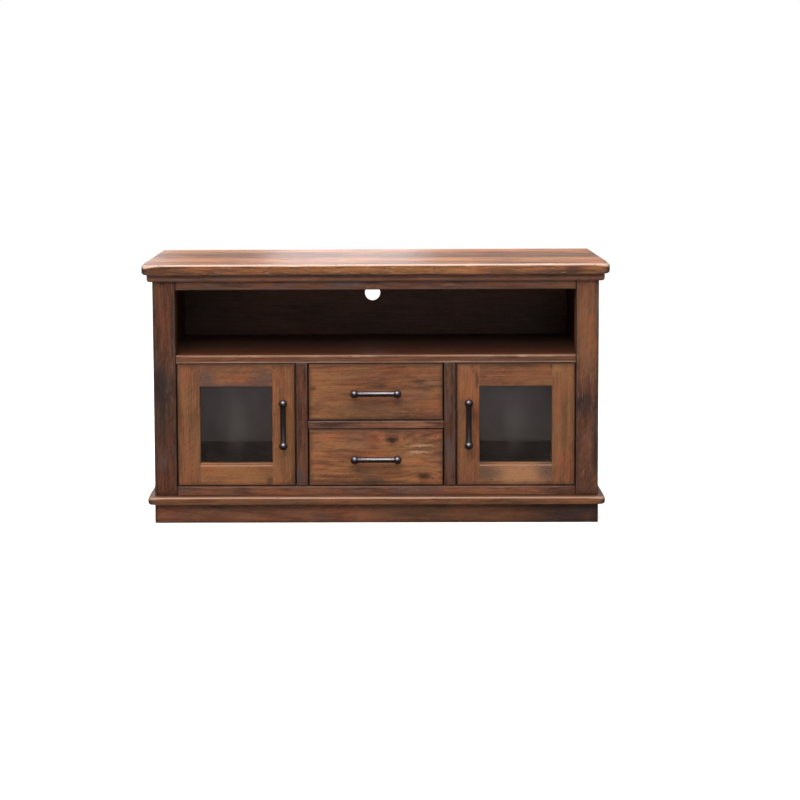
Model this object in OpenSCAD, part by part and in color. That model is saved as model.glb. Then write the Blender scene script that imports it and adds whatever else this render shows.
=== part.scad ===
// Rustic tv unit: an open niche above two drawers, with a glazed door at each end.
// X runs to the right, Y from the front to the back and Z up.
// The origin lies on the floor, under the middle of the whole unit with its handles.
// Places are written as a depth behind the front face of the body, which depth() turns into Y.

/* [Carcass] */
// Width of the body over the outer faces of its corner posts
body_w = 1340; // [1240:10:1600]
// Depth of the body, from its front face to its back
body_d = 420; // [380:10:520]
// Width of a front corner post, seen from the front
post_w = 68; // [58:1:80]
// Depth of a front corner post
post_d = 45; // [38:1:55]
// Depth of a rear corner post
rear_post_d = 60; // [50:1:80]
// Thickness of a side, from its inner wall to the outer face of the posts
side_t = 45; // [40:1:50]
// How far the side rails stand back from the outer face of the posts
side_setback = 6; // [3:1:8]
// Height of a side rail
side_rail_h = 70; // [60:1:90]
// Thickness of a side panel
side_panel_t = 14; // [12:1:18]
// Thickness of the front rails and of the centre stiles
rail_t = 25; // [24:1:30]
// Thickness of the rear rails
rear_rail_t = 26; // [22:1:30]
// Height of the upper rear rail
rear_top_rail_h = 36; // [32:1:60]
// Thickness of a partition beside the drawers
partition_t = 18; // [15:1:22]
// Thickness of the panel that floors the cupboards
floor_t = 18; // [12:1:18]
// Thickness of the two back panels
back_t = 10; // [8:1:12]
// How far the rear rails stand in from the back of the body
back_setback = 6; // [2:1:12]
// Diameter of the cable hole in the upper back panel
cable_hole_d = 50; // [30:1:80]
// Height of the cable hole's centre above the fixed shelf
cable_hole_up = 137; // [60:1:150]
// Distance of the cable hole's centre to the right of the middle
cable_hole_x = -9; // [-60:1:60]
// Width of the bevel on the outer arrises of the posts, doors and drawer fronts
arris = 2; // [0.5:0.5:2]

/* [Bearers and blocks] */
// Distance from the middle to each bearer under the top board
top_bearer_x = 300; // [200:10:500]
// Width of a bearer under the top board
top_bearer_w = 60; // [40:5:80]
// Width of a bearer under the floor panel
bearer_w = 40; // [30:5:60]
// Width and height of a bearer under the fixed shelf
shelf_bearer_w = 18; // [12:1:24]
// Height of the batten at the foot of the back, inside a cupboard
back_batten_h = 46; // [20:1:60]
// Thickness of such a batten
back_batten_t = 18; // [12:1:25]
// Leg of a three-cornered block in the plinth
plinth_block_w = 40; // [30:5:60]
// Room left under such a block
plinth_block_lift = 2; // [1:0.5:4]

/* [Heights, from the floor up] */
// Height of the plinth
plinth_h = 60; // [40:1:90]
// Thickness of the plinth boards
plinth_t = 22; // [18:1:28]
// Thickness of the base board
base_t = 24; // [20:1:32]
// Height of the rail under the doors and drawers
bottom_rail_h = 28; // [28:1:40]
// Height of the opening that the doors and drawers share
cupboard_h = 376; // [330:1:440]
// Thickness of the fixed shelf
shelf_t = 24; // [24:1:32]
// Height of the open niche
niche_h = 198; // [160:1:260]
// Height of the top rail that shows under the cornice
top_rail_show = 26; // [18:1:40]
// Height of the cornice
cornice_h = 22; // [20:1:30]
// Thickness of the top board
top_t = 32; // [28:1:40]

/* [Overhangs and edges] */
// How far the top board stands out past the body
top_overhang = 30; // [22:1:40]
// Radius of the top board's rounded upper and lower edges
top_edge_r = 8; // [3:1:12]
// Radius of the top board's front corners in plan
top_corner_r = 24; // [14:1:40]
// How far the base board stands out past the body
base_overhang = 20; // [14:1:28]
// Radius of the base board's rounded upper and lower edges
base_edge_r = 6; // [3:1:9]
// Radius of the base board's front corners in plan
base_corner_r = 16; // [10:1:24]
// How far the cornice stands out past the body
cornice_out = 14; // [10:1:20]
// Radius of the cornice's rounded lower edge
cornice_edge_r = 9; // [4:1:9]

/* [Doors] */
// Gap round each door and drawer front
front_gap = 2.5; // [2:0.1:3]
// Thickness of the doors and drawer fronts
front_t = 22; // [20:1:24]
// Width of a door's stiles and rails
door_frame_w = 69; // [55:1:80]
// Width of the rebate that holds the glass
rebate_w = 8; // [6:1:10]
// Thickness of the wood left in front of the glass
glass_cover = 10; // [8:1:11]
// Thickness of the glass
glass_t = 4; // [3:0.5:5]
// Distance from a door's outer edge to its pivot
pivot_in = 11; // [10:0.5:13]
// Distance from a door's front face to its pivot
pivot_deep = 7.2; // [6.5:0.1:7.5]
// Diameter of a pivot pin
pivot_d = 5; // [4:0.5:5]
// How far a pivot pin reaches into its bush
pivot_reach = 10; // [8:1:14]
// Length of a pivot's plate
pivot_plate_l = 28; // [24:1:36]
// Width of a pivot's plate
pivot_plate_w = 9.5; // [9.5:0.1:10]
// Thickness of a pivot's plate
pivot_plate_t = 2; // [1.5:0.1:2.5]
// Wall of a pivot's bush
bush_wall = 2; // [1.5:0.1:2.2]
// Thickness of the bush's closed end
bush_floor = 2; // [1:0.5:4]
// Wood left between a bush's plate and the door's outer edge
bush_edge = 1; // [1:0.5:3]
// Length of a magnetic catch
catch_l = 40; // [30:1:50]
// Depth of a magnetic catch
catch_d = 14; // [10:1:18]
// Height of a magnetic catch
catch_h = 15; // [12:1:18]
// Length of the strike plate that a catch holds
strike_l = 30; // [24:1:40]
// Thickness of the strike plate
strike_t = 1.2; // [1:0.1:2]
// Height of the strike plate
strike_h = 13; // [10:1:16]
// Distance from the strike plate to the top of the door
strike_drop = 4; // [2:1:8]
// Height of the door handle's middle above the door's middle
door_handle_up = 7; // [-40:1:40]

/* [Drawers] */
// Width of the opening for the drawers
drawer_opening_w = 410; // [340:5:460]
// Width of a centre stile, between the drawers and a door
centre_stile_w = 36; // [32:1:50]
// Height of the rail between the two drawers
mid_rail_h = 24; // [22:1:34]
// Thickness of a drawer's sides
drawer_side_t = 14; // [12:1:16]
// Thickness of a drawer's back
drawer_back_t = 12; // [9:1:15]
// Thickness of a drawer's bottom
drawer_bottom_t = 6; // [4:1:8]
// Height of the drawer's bottom above the lower edge of its sides
drawer_bottom_up = 10; // [8:1:14]
// Room left between a drawer and the back panel
drawer_back_room = 36; // [30:1:60]
// How far a drawer's sides run on behind its back
drawer_tail = 18; // [10:1:30]
// Width of a wooden runner
runner_w = 28; // [24:1:40]
// Height of a guide strip above its runner
guide_h = 15; // [10:1:25]
// Side play between a drawer and its guides
guide_play = 0.5; // [0.4:0.1:1]
// Length of a drawer stop
stop_l = 20; // [14:1:24]
// Height of a drawer stop
stop_h = 18; // [12:1:24]
// How far a drawer's back stands below the top of its sides
drawer_back_drop = 5; // [2:1:10]
// Number of dovetails at each front corner of a drawer
dovetails = 4; // [3:1:6]
// Width of a dovetail pin at its narrow end
pin_w = 8; // [6:1:12]
// Wood left in front of the dovetails
dovetail_lap = 6; // [5:1:8]
// Run of a dovetail's slope for a rise of one
dovetail_slope = 7; // [6:1:8]

/* [Handles] */
// Distance between the centres of a handle's two balls
handle_centres = 128; // [96:32:160]
// Diameter of a handle's balls
handle_ball_d = 26; // [20:1:30]
// Diameter of a handle's bar
handle_bar_d = 17; // [10:1:18]
// Distance from the wood to the middle of the bar
handle_standoff = 31; // [28:1:40]
// Diameter of a handle's two feet
handle_foot_d = 14; // [11:1:16]
// Diameter of a handle's fixing screws
handle_screw_d = 4; // [4:1:5]
// Depth of the screw hole in a handle's foot
handle_bore_l = 14; // [10:1:16]
// Room left past the tip of a handle's screw
handle_bore_room = 2; // [1:0.5:3]

/* [Joinery] */
// Thickness of a tenon
tenon_t = 8; // [6:1:10]
// Length of a tenon that enters a corner post
tenon_l = 20; // [15:1:22]
// Length of a short tenon, in a narrow rail or stile
stub_l = 12; // [8:1:14]
// Shoulder that is left above and below a tenon
tenon_shoulder = 6; // [5:1:7]
// Thickness of the tongue round a side panel
tongue_t = 6; // [5:1:8]
// Depth of the grooves that hold panels
groove_d = 8; // [6:1:10]
// Clearance round tenons, tongues and inset fittings
joint_clearance = 0.15; // [0.1:0.05:0.3]
// Clearance between wooden pieces that slide on each other
slide_clearance = 0.3; // [0.3:0.1:0.6]
// Clearance round a pivot pin, on the radius
pivot_clearance = 0.05; // [0.03:0.01:0.1]
// Room left past the tip of a pivot pin
pivot_room = 0.5; // [0.3:0.1:1]
// Clearance round a handle's screws where they pass the wood, on the radius
handle_screw_clearance = 0.3; // [0.2:0.1:0.5]
// Diameter of the screws that hold the top board
top_screw_d = 4; // [3.5:0.5:5]
// How far these screws enter the top board
top_screw_reach = 18; // [12:1:22]
// Room left past the tips of these screws
top_screw_room = 1; // [1:0.5:3]
// Distance from these screws to the rail in front of them or behind them
top_screw_in = 40; // [25:5:80]
// Height of a screw's head
screw_head_h = 2.6; // [2:0.1:3]

/* [Hidden] */
$fn = 48;
// Depth by which solids of one piece run into each other
eps = 0.01;
// How far a cut runs on past the wood that it opens
past = 1;

half_w = body_w / 2;
post_in = half_w - post_w;
wall_in = half_w - side_t;
side_rail_out = half_w - side_setback;
stile_in = drawer_opening_w / 2;
stile_out = stile_in + centre_stile_w;
partition_in = (stile_in + stile_out - partition_t) / 2;
partition_out = partition_in + partition_t;

z_base = plinth_h;
z_rail = z_base + base_t;
z_floor = z_rail + bottom_rail_h;
z_shelf = z_floor + cupboard_h;
z_niche = z_shelf + shelf_t;
z_top_rail = z_niche + niche_h;
z_cornice = z_top_rail + top_rail_show;
z_top = z_cornice + cornice_h;
unit_h = z_top + top_t;
z_mid_rail = z_floor + (cupboard_h - mid_rail_h) / 2;
z_upper_drawer = z_mid_rail + mid_rail_h;

handle_reach = handle_standoff + handle_ball_d / 2;
front_reach = max(handle_reach, top_overhang);
face_y = (front_reach - body_d) / 2;
function depth(d) = face_y + d;

rear_rail_back = body_d - back_setback;
rear_rail_front = rear_rail_back - rear_rail_t;
back_front = rear_rail_front + (rear_rail_t - back_t) / 2;
rear_post_front = body_d - rear_post_d;
z_back_split = z_shelf + shelf_t / 2;
z_rear_top_rail = z_top - rear_top_rail_h;

runner_lift = front_gap - slide_clearance;
drawer_l = back_front - drawer_back_room;
drawer_h = (cupboard_h - mid_rail_h) / 2 - 2 * front_gap;
drawer_half_w = stile_in - front_gap;
drawer_inner = drawer_half_w - drawer_side_t;
drawer_back_y = drawer_l - drawer_tail - drawer_back_t;
tail_pitch = drawer_h / dovetails;

door_in = stile_out + front_gap;
door_out = post_in - front_gap;
door_z0 = z_floor + front_gap;
door_z1 = z_shelf - front_gap;
sight_x0 = door_in + door_frame_w;
sight_x1 = door_out - door_frame_w;
sight_z0 = door_z0 + door_frame_w;
sight_z1 = door_z1 - door_frame_w;
pivot_x = door_out - pivot_in;
catch_x = door_in + door_frame_w / 2;
door_z_mid = (door_z0 + door_z1) / 2;

drawer_floors = [z_floor, z_upper_drawer];
drawer_z = [for (z = drawer_floors) z + front_gap];
bottom_slot_h = drawer_bottom_t + 2 * joint_clearance;

pine_dark = [0.30, 0.20, 0.16];
pine_warm = [0.51, 0.31, 0.21];
pine_inner = [0.24, 0.15, 0.11];
pine_plain = [0.62, 0.47, 0.33];
iron_dark = [0.20, 0.19, 0.19];
steel = [0.62, 0.62, 0.60];
pane = [0.35, 0.36, 0.36, 0.5];

// A block between two opposite corners, given as x, depth and z.
module block(lo, hi) {
  translate([lo[0], depth(lo[1]), lo[2]]) cube(hi - lo);
}

// The pocket for such a block: the block grown by the joint clearance.
module pocket(box, clearance = joint_clearance) {
  grow = [clearance, clearance, clearance];
  block(box[0] - grow, box[1] + grow);
}

module both_sides() {
  children();
  mirror([1, 0, 0]) children();
}

// The shapes of the right side are drawn once and mirrored to the left.
module on_side(side) {
  mirror([side < 0 ? 1 : 0, 0, 0]) children();
}

// An outline drawn in depth and z, pulled along X from x0 to x1.
module pull_along_x(x0, x1) {
  translate([x0, face_y, 0]) rotate([90, 0, 90]) linear_extrude(x1 - x0) children();
}

// An outline drawn in x and depth, raised from z0 to z1.
module raise(z0, z1) {
  translate([0, face_y, z0]) linear_extrude(z1 - z0) children();
}

// A board between two depths whose arrises at the front are bevelled, mitred at the corners.
module bevelled_board(x0, x1, z0, z1, back) {
  intersection() {
    raise(z0, z1)
      polygon([[x0 + arris, 0], [x1 - arris, 0], [x1, arris], [x1, back], [x0, back], [x0, arris]]);
    pull_along_x(x0, x1)
      polygon([[0, z0 + arris], [arris, z0], [back, z0], [back, z1], [arris, z1], [0, z1 - arris]]);
  }
}

// A tenon on the end of a rail that runs along X, as its two corners.
function tenon_x(x, length, mid, z0, z1, low = tenon_shoulder, high = tenon_shoulder) = [
  [x, mid - tenon_t / 2, z0 + low],
  [x + length, mid + tenon_t / 2, z1 - high]
];

// A tenon on the end of a side rail that runs along the depth.
function tenon_side(d0, d1, z0, z1) = [
  [(wall_in + side_rail_out - tenon_t) / 2, d0, z0 + groove_d + tenon_shoulder],
  [(wall_in + side_rail_out + tenon_t) / 2, d1, z1 - groove_d - tenon_shoulder]
];

top_rail_tenon = tenon_x(post_in, tenon_l, rail_t / 2, z_top_rail, z_top);
bottom_rail_tenon = tenon_x(post_in, tenon_l, rail_t / 2, z_rail, z_floor);
shelf_tenon = tenon_x(post_in, tenon_l, rail_t / 2, z_shelf, z_niche);
mid_rail_tenon = tenon_x(stile_in, stub_l, rail_t / 2, z_mid_rail, z_upper_drawer);
rear_mid = rear_rail_front + rear_rail_t / 2;
rear_top_tenon = tenon_x(wall_in, tenon_l, rear_mid, z_rear_top_rail, z_top,
                         groove_d + tenon_shoulder / 2);
rear_bottom_tenon = tenon_x(wall_in, tenon_l, rear_mid, z_rail, z_floor,
                            tenon_shoulder / 2, groove_d + tenon_shoulder / 2);
stile_tenons = [for (z = [z_floor - stub_l, z_shelf])
  [[stile_in + tenon_shoulder, (rail_t - tenon_t) / 2, z],
   [stile_out - tenon_shoulder, (rail_t + tenon_t) / 2, z + stub_l]]];
side_rail_zs = [[z_rail, z_rail + side_rail_h], [z_top - side_rail_h, z_top]];
side_rail_tenons = [for (zs = side_rail_zs, ds = [[post_d - tenon_l, post_d],
                                                  [rear_post_front, rear_post_front + tenon_l]])
  tenon_side(ds[0], ds[1], zs[0], zs[1])];
side_tongue = [
  [wall_in + (side_panel_t - tongue_t) / 2, post_d - groove_d, side_rail_zs[0][1] - groove_d],
  [wall_in + (side_panel_t + tongue_t) / 2, rear_post_front + groove_d, side_rail_zs[1][0] + groove_d]
];
back_groove = [
  [-wall_in - groove_d, back_front, z_floor - groove_d],
  [wall_in + groove_d, back_front + back_t, z_rear_top_rail + groove_d]
];

// What rounding takes off a corner that points to the upper right.
module corner_waste(radius) {
  difference() {
    square(radius + past);
    circle(radius);
  }
}

// Edge of a moulded board, outwards and then up, with its two outer corners rounded.
module edge_outline(reach, thickness, edge_r) {
  difference() {
    square([reach, thickness]);
    translate([reach - edge_r, thickness - edge_r]) corner_waste(edge_r);
    translate([reach - edge_r, edge_r]) mirror([0, 1]) corner_waste(edge_r);
  }
}

// The cornice's outline, with only its lower edge rounded.
module cornice_outline() {
  difference() {
    square([cornice_out, cornice_h]);
    translate([cornice_out - cornice_edge_r, cornice_edge_r]) mirror([0, 1])
      corner_waste(cornice_edge_r);
  }
}

// A board with a rounded edge on its front and ends, round front corners and a square back.
module moulded_board(overhang, corner_r, z0, thickness, edge_r) {
  run = half_w + overhang - corner_r;
  front = depth(corner_r - overhang);
  back = depth(body_d);
  translate([0, 0, z0]) {
    translate([-run, front, 0]) cube([2 * run, back - front, thickness]);
    translate([run, front, 0]) rotate([90, 0, -90]) linear_extrude(2 * run)
      edge_outline(corner_r, thickness, edge_r);
    both_sides() {
      translate([run, back, 0]) rotate([90, 0, 0]) linear_extrude(back - front)
        edge_outline(corner_r, thickness, edge_r);
      translate([run, front, 0]) rotate([0, 0, -90]) rotate_extrude(angle = 90)
        edge_outline(corner_r, thickness, edge_r);
    }
  }
}

module top_screw_places() {
  for (side = [-1, 1], d = [rail_t + top_screw_in, rear_rail_front - top_screw_in])
    translate([side * top_bearer_x, depth(d), 0]) children();
}

module top_board() {
  color(pine_warm) difference() {
    moulded_board(top_overhang, top_corner_r, z_top, top_t, top_edge_r);
    top_screw_places() translate([0, 0, z_top - past])
      cylinder(h = past + top_screw_reach + top_screw_room, r = top_screw_d / 2 + joint_clearance);
  }
}

// The cornice lies on the posts and the top rail, mitred at the two front corners.
module cornice_front() {
  out = cornice_out;
  color(pine_dark) translate([0, face_y, z_cornice]) intersection() {
    translate([half_w + out, 0, 0]) rotate([90, 0, -90]) linear_extrude(body_w + 2 * out)
      cornice_outline();
    linear_extrude(cornice_h)
      polygon([[-half_w - out, -out], [half_w + out, -out], [half_w, 0], [-half_w, 0]]);
  }
}

module cornice_returns() {
  out = cornice_out;
  color(pine_dark) both_sides() translate([half_w, face_y, z_cornice]) intersection() {
    translate([0, body_d, 0]) rotate([90, 0, 0]) linear_extrude(body_d + out)
      cornice_outline();
    linear_extrude(cornice_h) polygon([[0, 0], [out, -out], [out, body_d], [0, body_d]]);
  }
}

// A post between two depths, with a bevel along its two outer arrises.
module post(inner, d0, d1) {
  raise(z_rail, z_top)
    polygon([[inner, d0], [half_w - arris, d0], [half_w, d0 + arris], [half_w, d1 - arris],
             [half_w - arris, d1], [inner, d1]]);
}

module front_post(side) {
  rail_tenons = [top_rail_tenon, bottom_rail_tenon, shelf_tenon];
  color(pine_dark) on_side(side) difference() {
    post(post_in, 0, post_d);
    for (box = concat(rail_tenons, side_rail_tenons)) pocket(box);
    pocket(side_tongue);
  }
}

module rear_post(side) {
  color(pine_dark) on_side(side) difference() {
    post(wall_in, rear_post_front, body_d);
    for (box = concat([rear_top_tenon, rear_bottom_tenon], side_rail_tenons)) pocket(box);
    pocket(side_tongue);
    pocket(back_groove);
  }
}

module side_rails(side) {
  color(pine_dark) on_side(side) {
    for (zs = side_rail_zs) difference() {
      block([wall_in, post_d, zs[0]], [side_rail_out, rear_post_front, zs[1]]);
      pocket(side_tongue);
    }
    for (box = side_rail_tenons) block(box[0], box[1]);
  }
}

module side_panel(side) {
  color(pine_dark) on_side(side) {
    block([wall_in, post_d, side_rail_zs[0][1]],
          [wall_in + side_panel_t, rear_post_front, side_rail_zs[1][0]]);
    block(side_tongue[0], side_tongue[1]);
  }
}

// A front rail between the posts or stiles, with a tenon at each end.
module front_rail(half_length, z0, z1, tenon) {
  block([-half_length, 0, z0], [half_length, rail_t, z1]);
  both_sides() block(tenon[0], tenon[1]);
}

module top_rail() {
  color(pine_dark) front_rail(post_in, z_top_rail, z_top, top_rail_tenon);
}

module bottom_rail() {
  color(pine_dark) difference() {
    front_rail(post_in, z_rail, z_floor, bottom_rail_tenon);
    both_sides() {
      pocket(stile_tenons[0]);
      pivot_plate_pocket(z_floor - pivot_plate_t, z_floor);
    }
  }
}

module mid_rail() {
  color(pine_dark) front_rail(stile_in, z_mid_rail, z_upper_drawer, mid_rail_tenon);
}

module centre_stile(side) {
  color(pine_dark) on_side(side) difference() {
    union() {
      block([stile_in, 0, z_floor], [stile_out, rail_t, z_shelf]);
      for (box = stile_tenons) block(box[0], box[1]);
    }
    pocket(mid_rail_tenon);
  }
}

module fixed_shelf() {
  color(pine_dark) difference() {
    union() {
      block([-post_in, 0, z_shelf], [post_in, post_d, z_niche]);
      block([-wall_in, post_d, z_shelf], [wall_in, back_front, z_niche]);
      both_sides() block(shelf_tenon[0], shelf_tenon[1]);
    }
    both_sides() {
      pocket(stile_tenons[1]);
      pivot_plate_pocket(z_shelf, z_shelf + pivot_plate_t);
    }
  }
}

module floor_panel() {
  color(pine_inner) {
    block([-post_in, rail_t, z_floor - floor_t], [post_in, post_d, z_floor]);
    block([-wall_in, post_d, z_floor - floor_t], [wall_in, rear_rail_front, z_floor]);
  }
}

// Bearers that carry the floor panel on the base board, and the shelf on the sides.
module panel_bearers() {
  outer = wall_in - bearer_w;
  middle = (partition_in + partition_out - bearer_w) / 2;
  color(pine_inner) {
    for (x = [-outer - bearer_w, -middle - bearer_w, -bearer_w / 2, middle, outer])
      block([x, post_d, z_rail], [x + bearer_w, rear_post_front, z_floor - floor_t]);
    both_sides() block([wall_in - shelf_bearer_w, post_d, z_shelf - shelf_bearer_w],
                       [wall_in, rear_post_front, z_shelf]);
  }
}

// Battens that hold the foot of the back panel against the rear rail, one in each cupboard.
module back_battens() {
  color(pine_inner) both_sides()
    block([partition_out, back_front - back_batten_t, z_floor],
          [wall_in, back_front, z_floor + back_batten_h]);
}

module partition(side) {
  color(pine_inner) on_side(side)
    block([partition_in, rail_t, z_floor], [partition_out, back_front, z_shelf]);
}

module back_panel_upper() {
  color(pine_inner) difference() {
    block([back_groove[0][0], back_front, z_back_split], back_groove[1]);
    translate([cable_hole_x, depth(back_front - past), z_niche + cable_hole_up]) rotate([-90, 0, 0])
      cylinder(h = back_t + 2 * past, r = cable_hole_d / 2);
  }
}

module back_panel_lower() {
  color(pine_inner)
    block(back_groove[0], [back_groove[1][0], back_front + back_t, z_back_split]);
}

// A rear rail with the groove for the back panels and a tenon at each end.
module rear_rail(z0, z1, tenon) {
  color(pine_inner) {
    difference() {
      block([-wall_in, rear_rail_front, z0], [wall_in, rear_rail_back, z1]);
      pocket(back_groove);
    }
    both_sides() block(tenon[0], tenon[1]);
  }
}

module rear_top_rail() {
  rear_rail(z_rear_top_rail, z_top, rear_top_tenon);
}

module rear_bottom_rail() {
  rear_rail(z_rail, z_floor, rear_bottom_tenon);
}

module top_bearers() {
  color(pine_inner) difference() {
    for (side = [-1, 1]) {
      x = side * top_bearer_x - top_bearer_w / 2;
      block([x, rail_t, z_cornice], [x + top_bearer_w, rear_rail_front, z_top]);
    }
    top_screw_places() translate([0, 0, z_cornice - past])
      cylinder(h = cornice_h + 2 * past, r = top_screw_d / 2 + joint_clearance);
  }
}

// A screw that points up, with the underside of its head at zero. Its head is twice as wide.
module screw(diameter, length) {
  cylinder(h = length - diameter, r = diameter / 2);
  translate([0, 0, length - diameter]) cylinder(h = diameter, r1 = diameter / 2, r2 = diameter / 8);
  translate([0, 0, -screw_head_h]) difference() {
    cylinder(h = screw_head_h, r = diameter);
    translate([0, 0, -past]) cylinder(h = screw_head_h / 2 + past, r = diameter / 2, $fn = 6);
  }
}

module top_screws() {
  color(steel) top_screw_places() translate([0, 0, z_cornice])
    screw(top_screw_d, cornice_h + top_screw_reach);
}

module base_board() {
  color(pine_dark) moulded_board(base_overhang, base_corner_r, z_base, base_t, base_edge_r);
}

// The plinth is flush with the body: a front and two returns, mitred, with a butted back.
module plinth_front() {
  t = plinth_t;
  color(pine_dark) raise(0, plinth_h)
    polygon([[-half_w, 0], [half_w, 0], [half_w - t, t], [-half_w + t, t]]);
}

module plinth_returns() {
  t = plinth_t;
  color(pine_dark) both_sides() translate([half_w, face_y, 0]) linear_extrude(plinth_h)
    polygon([[0, 0], [0, body_d], [-t, body_d], [-t, t]]);
}

module plinth_back() {
  color(pine_inner)
    block([plinth_t - half_w, body_d - plinth_t, 0], [half_w - plinth_t, body_d, plinth_h]);
}

// Three-cornered glue blocks in the plinth's corners, just clear of the floor.
module plinth_blocks() {
  x = half_w - plinth_t;
  w = plinth_block_w;
  rise = plinth_block_lift;
  color(pine_inner) both_sides() translate([x, 0, rise]) linear_extrude(plinth_h - rise) {
    translate([0, depth(plinth_t)]) polygon([[0, 0], [0, w], [-w, 0]]);
    translate([0, depth(body_d - plinth_t)]) polygon([[0, 0], [-w, 0], [0, -w]]);
  }
}

module drawer_runners() {
  color(pine_inner) both_sides() {
    block([partition_in - runner_w, rail_t, z_floor],
          [partition_in, back_front, z_floor + runner_lift]);
    block([partition_in - runner_w, rail_t, z_mid_rail],
          [partition_in, back_front, z_upper_drawer + runner_lift]);
  }
}

module drawer_guides() {
  color(pine_inner) both_sides() for (z = drawer_floors)
    block([drawer_half_w + guide_play, rail_t, z + runner_lift],
          [partition_in, back_front, z + runner_lift + guide_h]);
}

module drawer_stops() {
  stop_front = drawer_l + slide_clearance;
  color(pine_inner) both_sides() for (z = drawer_floors)
    block([partition_in - runner_w, stop_front, z + runner_lift],
          [drawer_half_w + guide_play, stop_front + stop_l, z + runner_lift + stop_h]);
}

// Plates let in under and over each door. They end at the post and lie round the pivot.
function plate_box(z0, z1) = [
  [pivot_x - pivot_plate_l / 2, pivot_deep - pivot_plate_w / 2, z0],
  [pivot_x + pivot_in, pivot_deep + pivot_plate_w / 2, z1]
];

module pivot_plate_pocket(z0, z1) {
  pocket(plate_box(z0, z1));
}

module at_pivot(z) {
  translate([pivot_x, depth(pivot_deep), z]) children();
}

// The pins point into the door. The lower one has a collar that the door turns on.
module door_pivots() {
  collar_h = front_gap - slide_clearance;
  color(steel) both_sides() {
    low = plate_box(z_floor - pivot_plate_t, z_floor);
    block(low[0], low[1]);
    at_pivot(z_floor - eps) cylinder(h = collar_h + eps, r = pivot_d / 2 + bush_wall);
    at_pivot(z_floor - eps) cylinder(h = front_gap + pivot_reach + eps, r = pivot_d / 2);
    high = plate_box(z_shelf, z_shelf + pivot_plate_t);
    block(high[0], high[1]);
    at_pivot(door_z1 - pivot_reach)
      cylinder(h = front_gap + pivot_reach + eps, r = pivot_d / 2);
  }
}

// Magnetic catches under the shelf, one behind the handle stile of each door.
module door_catches() {
  catch_front = front_t + strike_t + slide_clearance;
  color(iron_dark) both_sides()
    block([catch_x - catch_l / 2, catch_front, z_shelf - catch_h],
          [catch_x + catch_l / 2, catch_front + catch_d, z_shelf]);
}

door_rail_zs = [[door_z0, sight_z0], [sight_z1, door_z1]];
door_tenons = [for (zs = door_rail_zs, xs = [[sight_x0 - tenon_l, sight_x0],
                                             [sight_x1, sight_x1 + tenon_l]])
  [[xs[0], (front_t - tenon_t) / 2, zs[0] + rebate_w + tenon_shoulder],
   [xs[1], (front_t + tenon_t) / 2, zs[1] - rebate_w - tenon_shoulder]]];
rebate_box = [
  [sight_x0 - rebate_w, glass_cover, sight_z0 - rebate_w],
  [sight_x1 + rebate_w, front_t + past, sight_z1 + rebate_w]
];

// The wood that the bevel round the glass takes away, mitred at the corners.
module sight_bevel() {
  w = arris + past;
  intersection() {
    raise(sight_z0 - w, sight_z1 + w)
      polygon([[sight_x0 - w, -past], [sight_x1 + w, -past], [sight_x1, arris], [sight_x0, arris]]);
    pull_along_x(sight_x0 - w, sight_x1 + w)
      polygon([[-past, sight_z0 - w], [arris, sight_z0], [arris, sight_z1], [-past, sight_z1 + w]]);
  }
}

// A bush with its plate, let into the door's edge: drawn mouth down with that edge at zero,
// and grown by the clearance for its pocket.
module bush_outside(grow = 0) {
  inner = pivot_plate_l / 2 + grow;
  half = pivot_plate_w / 2 + grow;
  translate([-inner, -half, -grow])
    cube([inner + pivot_in - bush_edge + grow, 2 * half, pivot_plate_t + 2 * grow]);
  translate([0, 0, -grow])
    cylinder(h = pivot_reach + bush_floor + 2 * grow, r = pivot_d / 2 + bush_wall + grow);
}

module pivot_bush() {
  difference() {
    bush_outside();
    translate([0, 0, -past])
      cylinder(h = past + pivot_reach + pivot_room, r = pivot_d / 2 + pivot_clearance);
  }
}

module at_door_bushes() {
  at_pivot(door_z0) children();
  at_pivot(door_z1) mirror([0, 0, 1]) children();
}

module at_door_handle() {
  translate([catch_x, face_y, door_z_mid + door_handle_up]) rotate([0, -90, 0]) children();
}

// The door's boards before they are joined, bevelled round the whole door.
module door_boards() {
  intersection() {
    bevelled_board(door_in, door_out, door_z0, door_z1, front_t);
    children();
  }
}

module door_stiles(side) {
  color(pine_warm) on_side(side) difference() {
    door_boards() for (xs = [[door_in, sight_x0], [sight_x1, door_out]])
      block([xs[0], 0, door_z0], [xs[1], front_t, door_z1]);
    for (box = door_tenons) pocket(box);
    block(rebate_box[0], rebate_box[1]);
    sight_bevel();
    at_door_bushes() bush_outside(joint_clearance);
    at_door_handle() handle_screw_holes();
  }
}

module door_rails(side) {
  color(pine_warm) on_side(side) {
    difference() {
      door_boards() for (zs = door_rail_zs)
        block([sight_x0, 0, zs[0]], [sight_x1, front_t, zs[1]]);
      block(rebate_box[0], rebate_box[1]);
      sight_bevel();
    }
    for (box = door_tenons) block(box[0], box[1]);
  }
}

module door_glass(side) {
  play = 2 * joint_clearance;
  color(pane) on_side(side)
    block(rebate_box[0] + [play, 0, play],
          [rebate_box[1][0] - play, glass_cover + glass_t, rebate_box[1][2] - play]);
}

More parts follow.
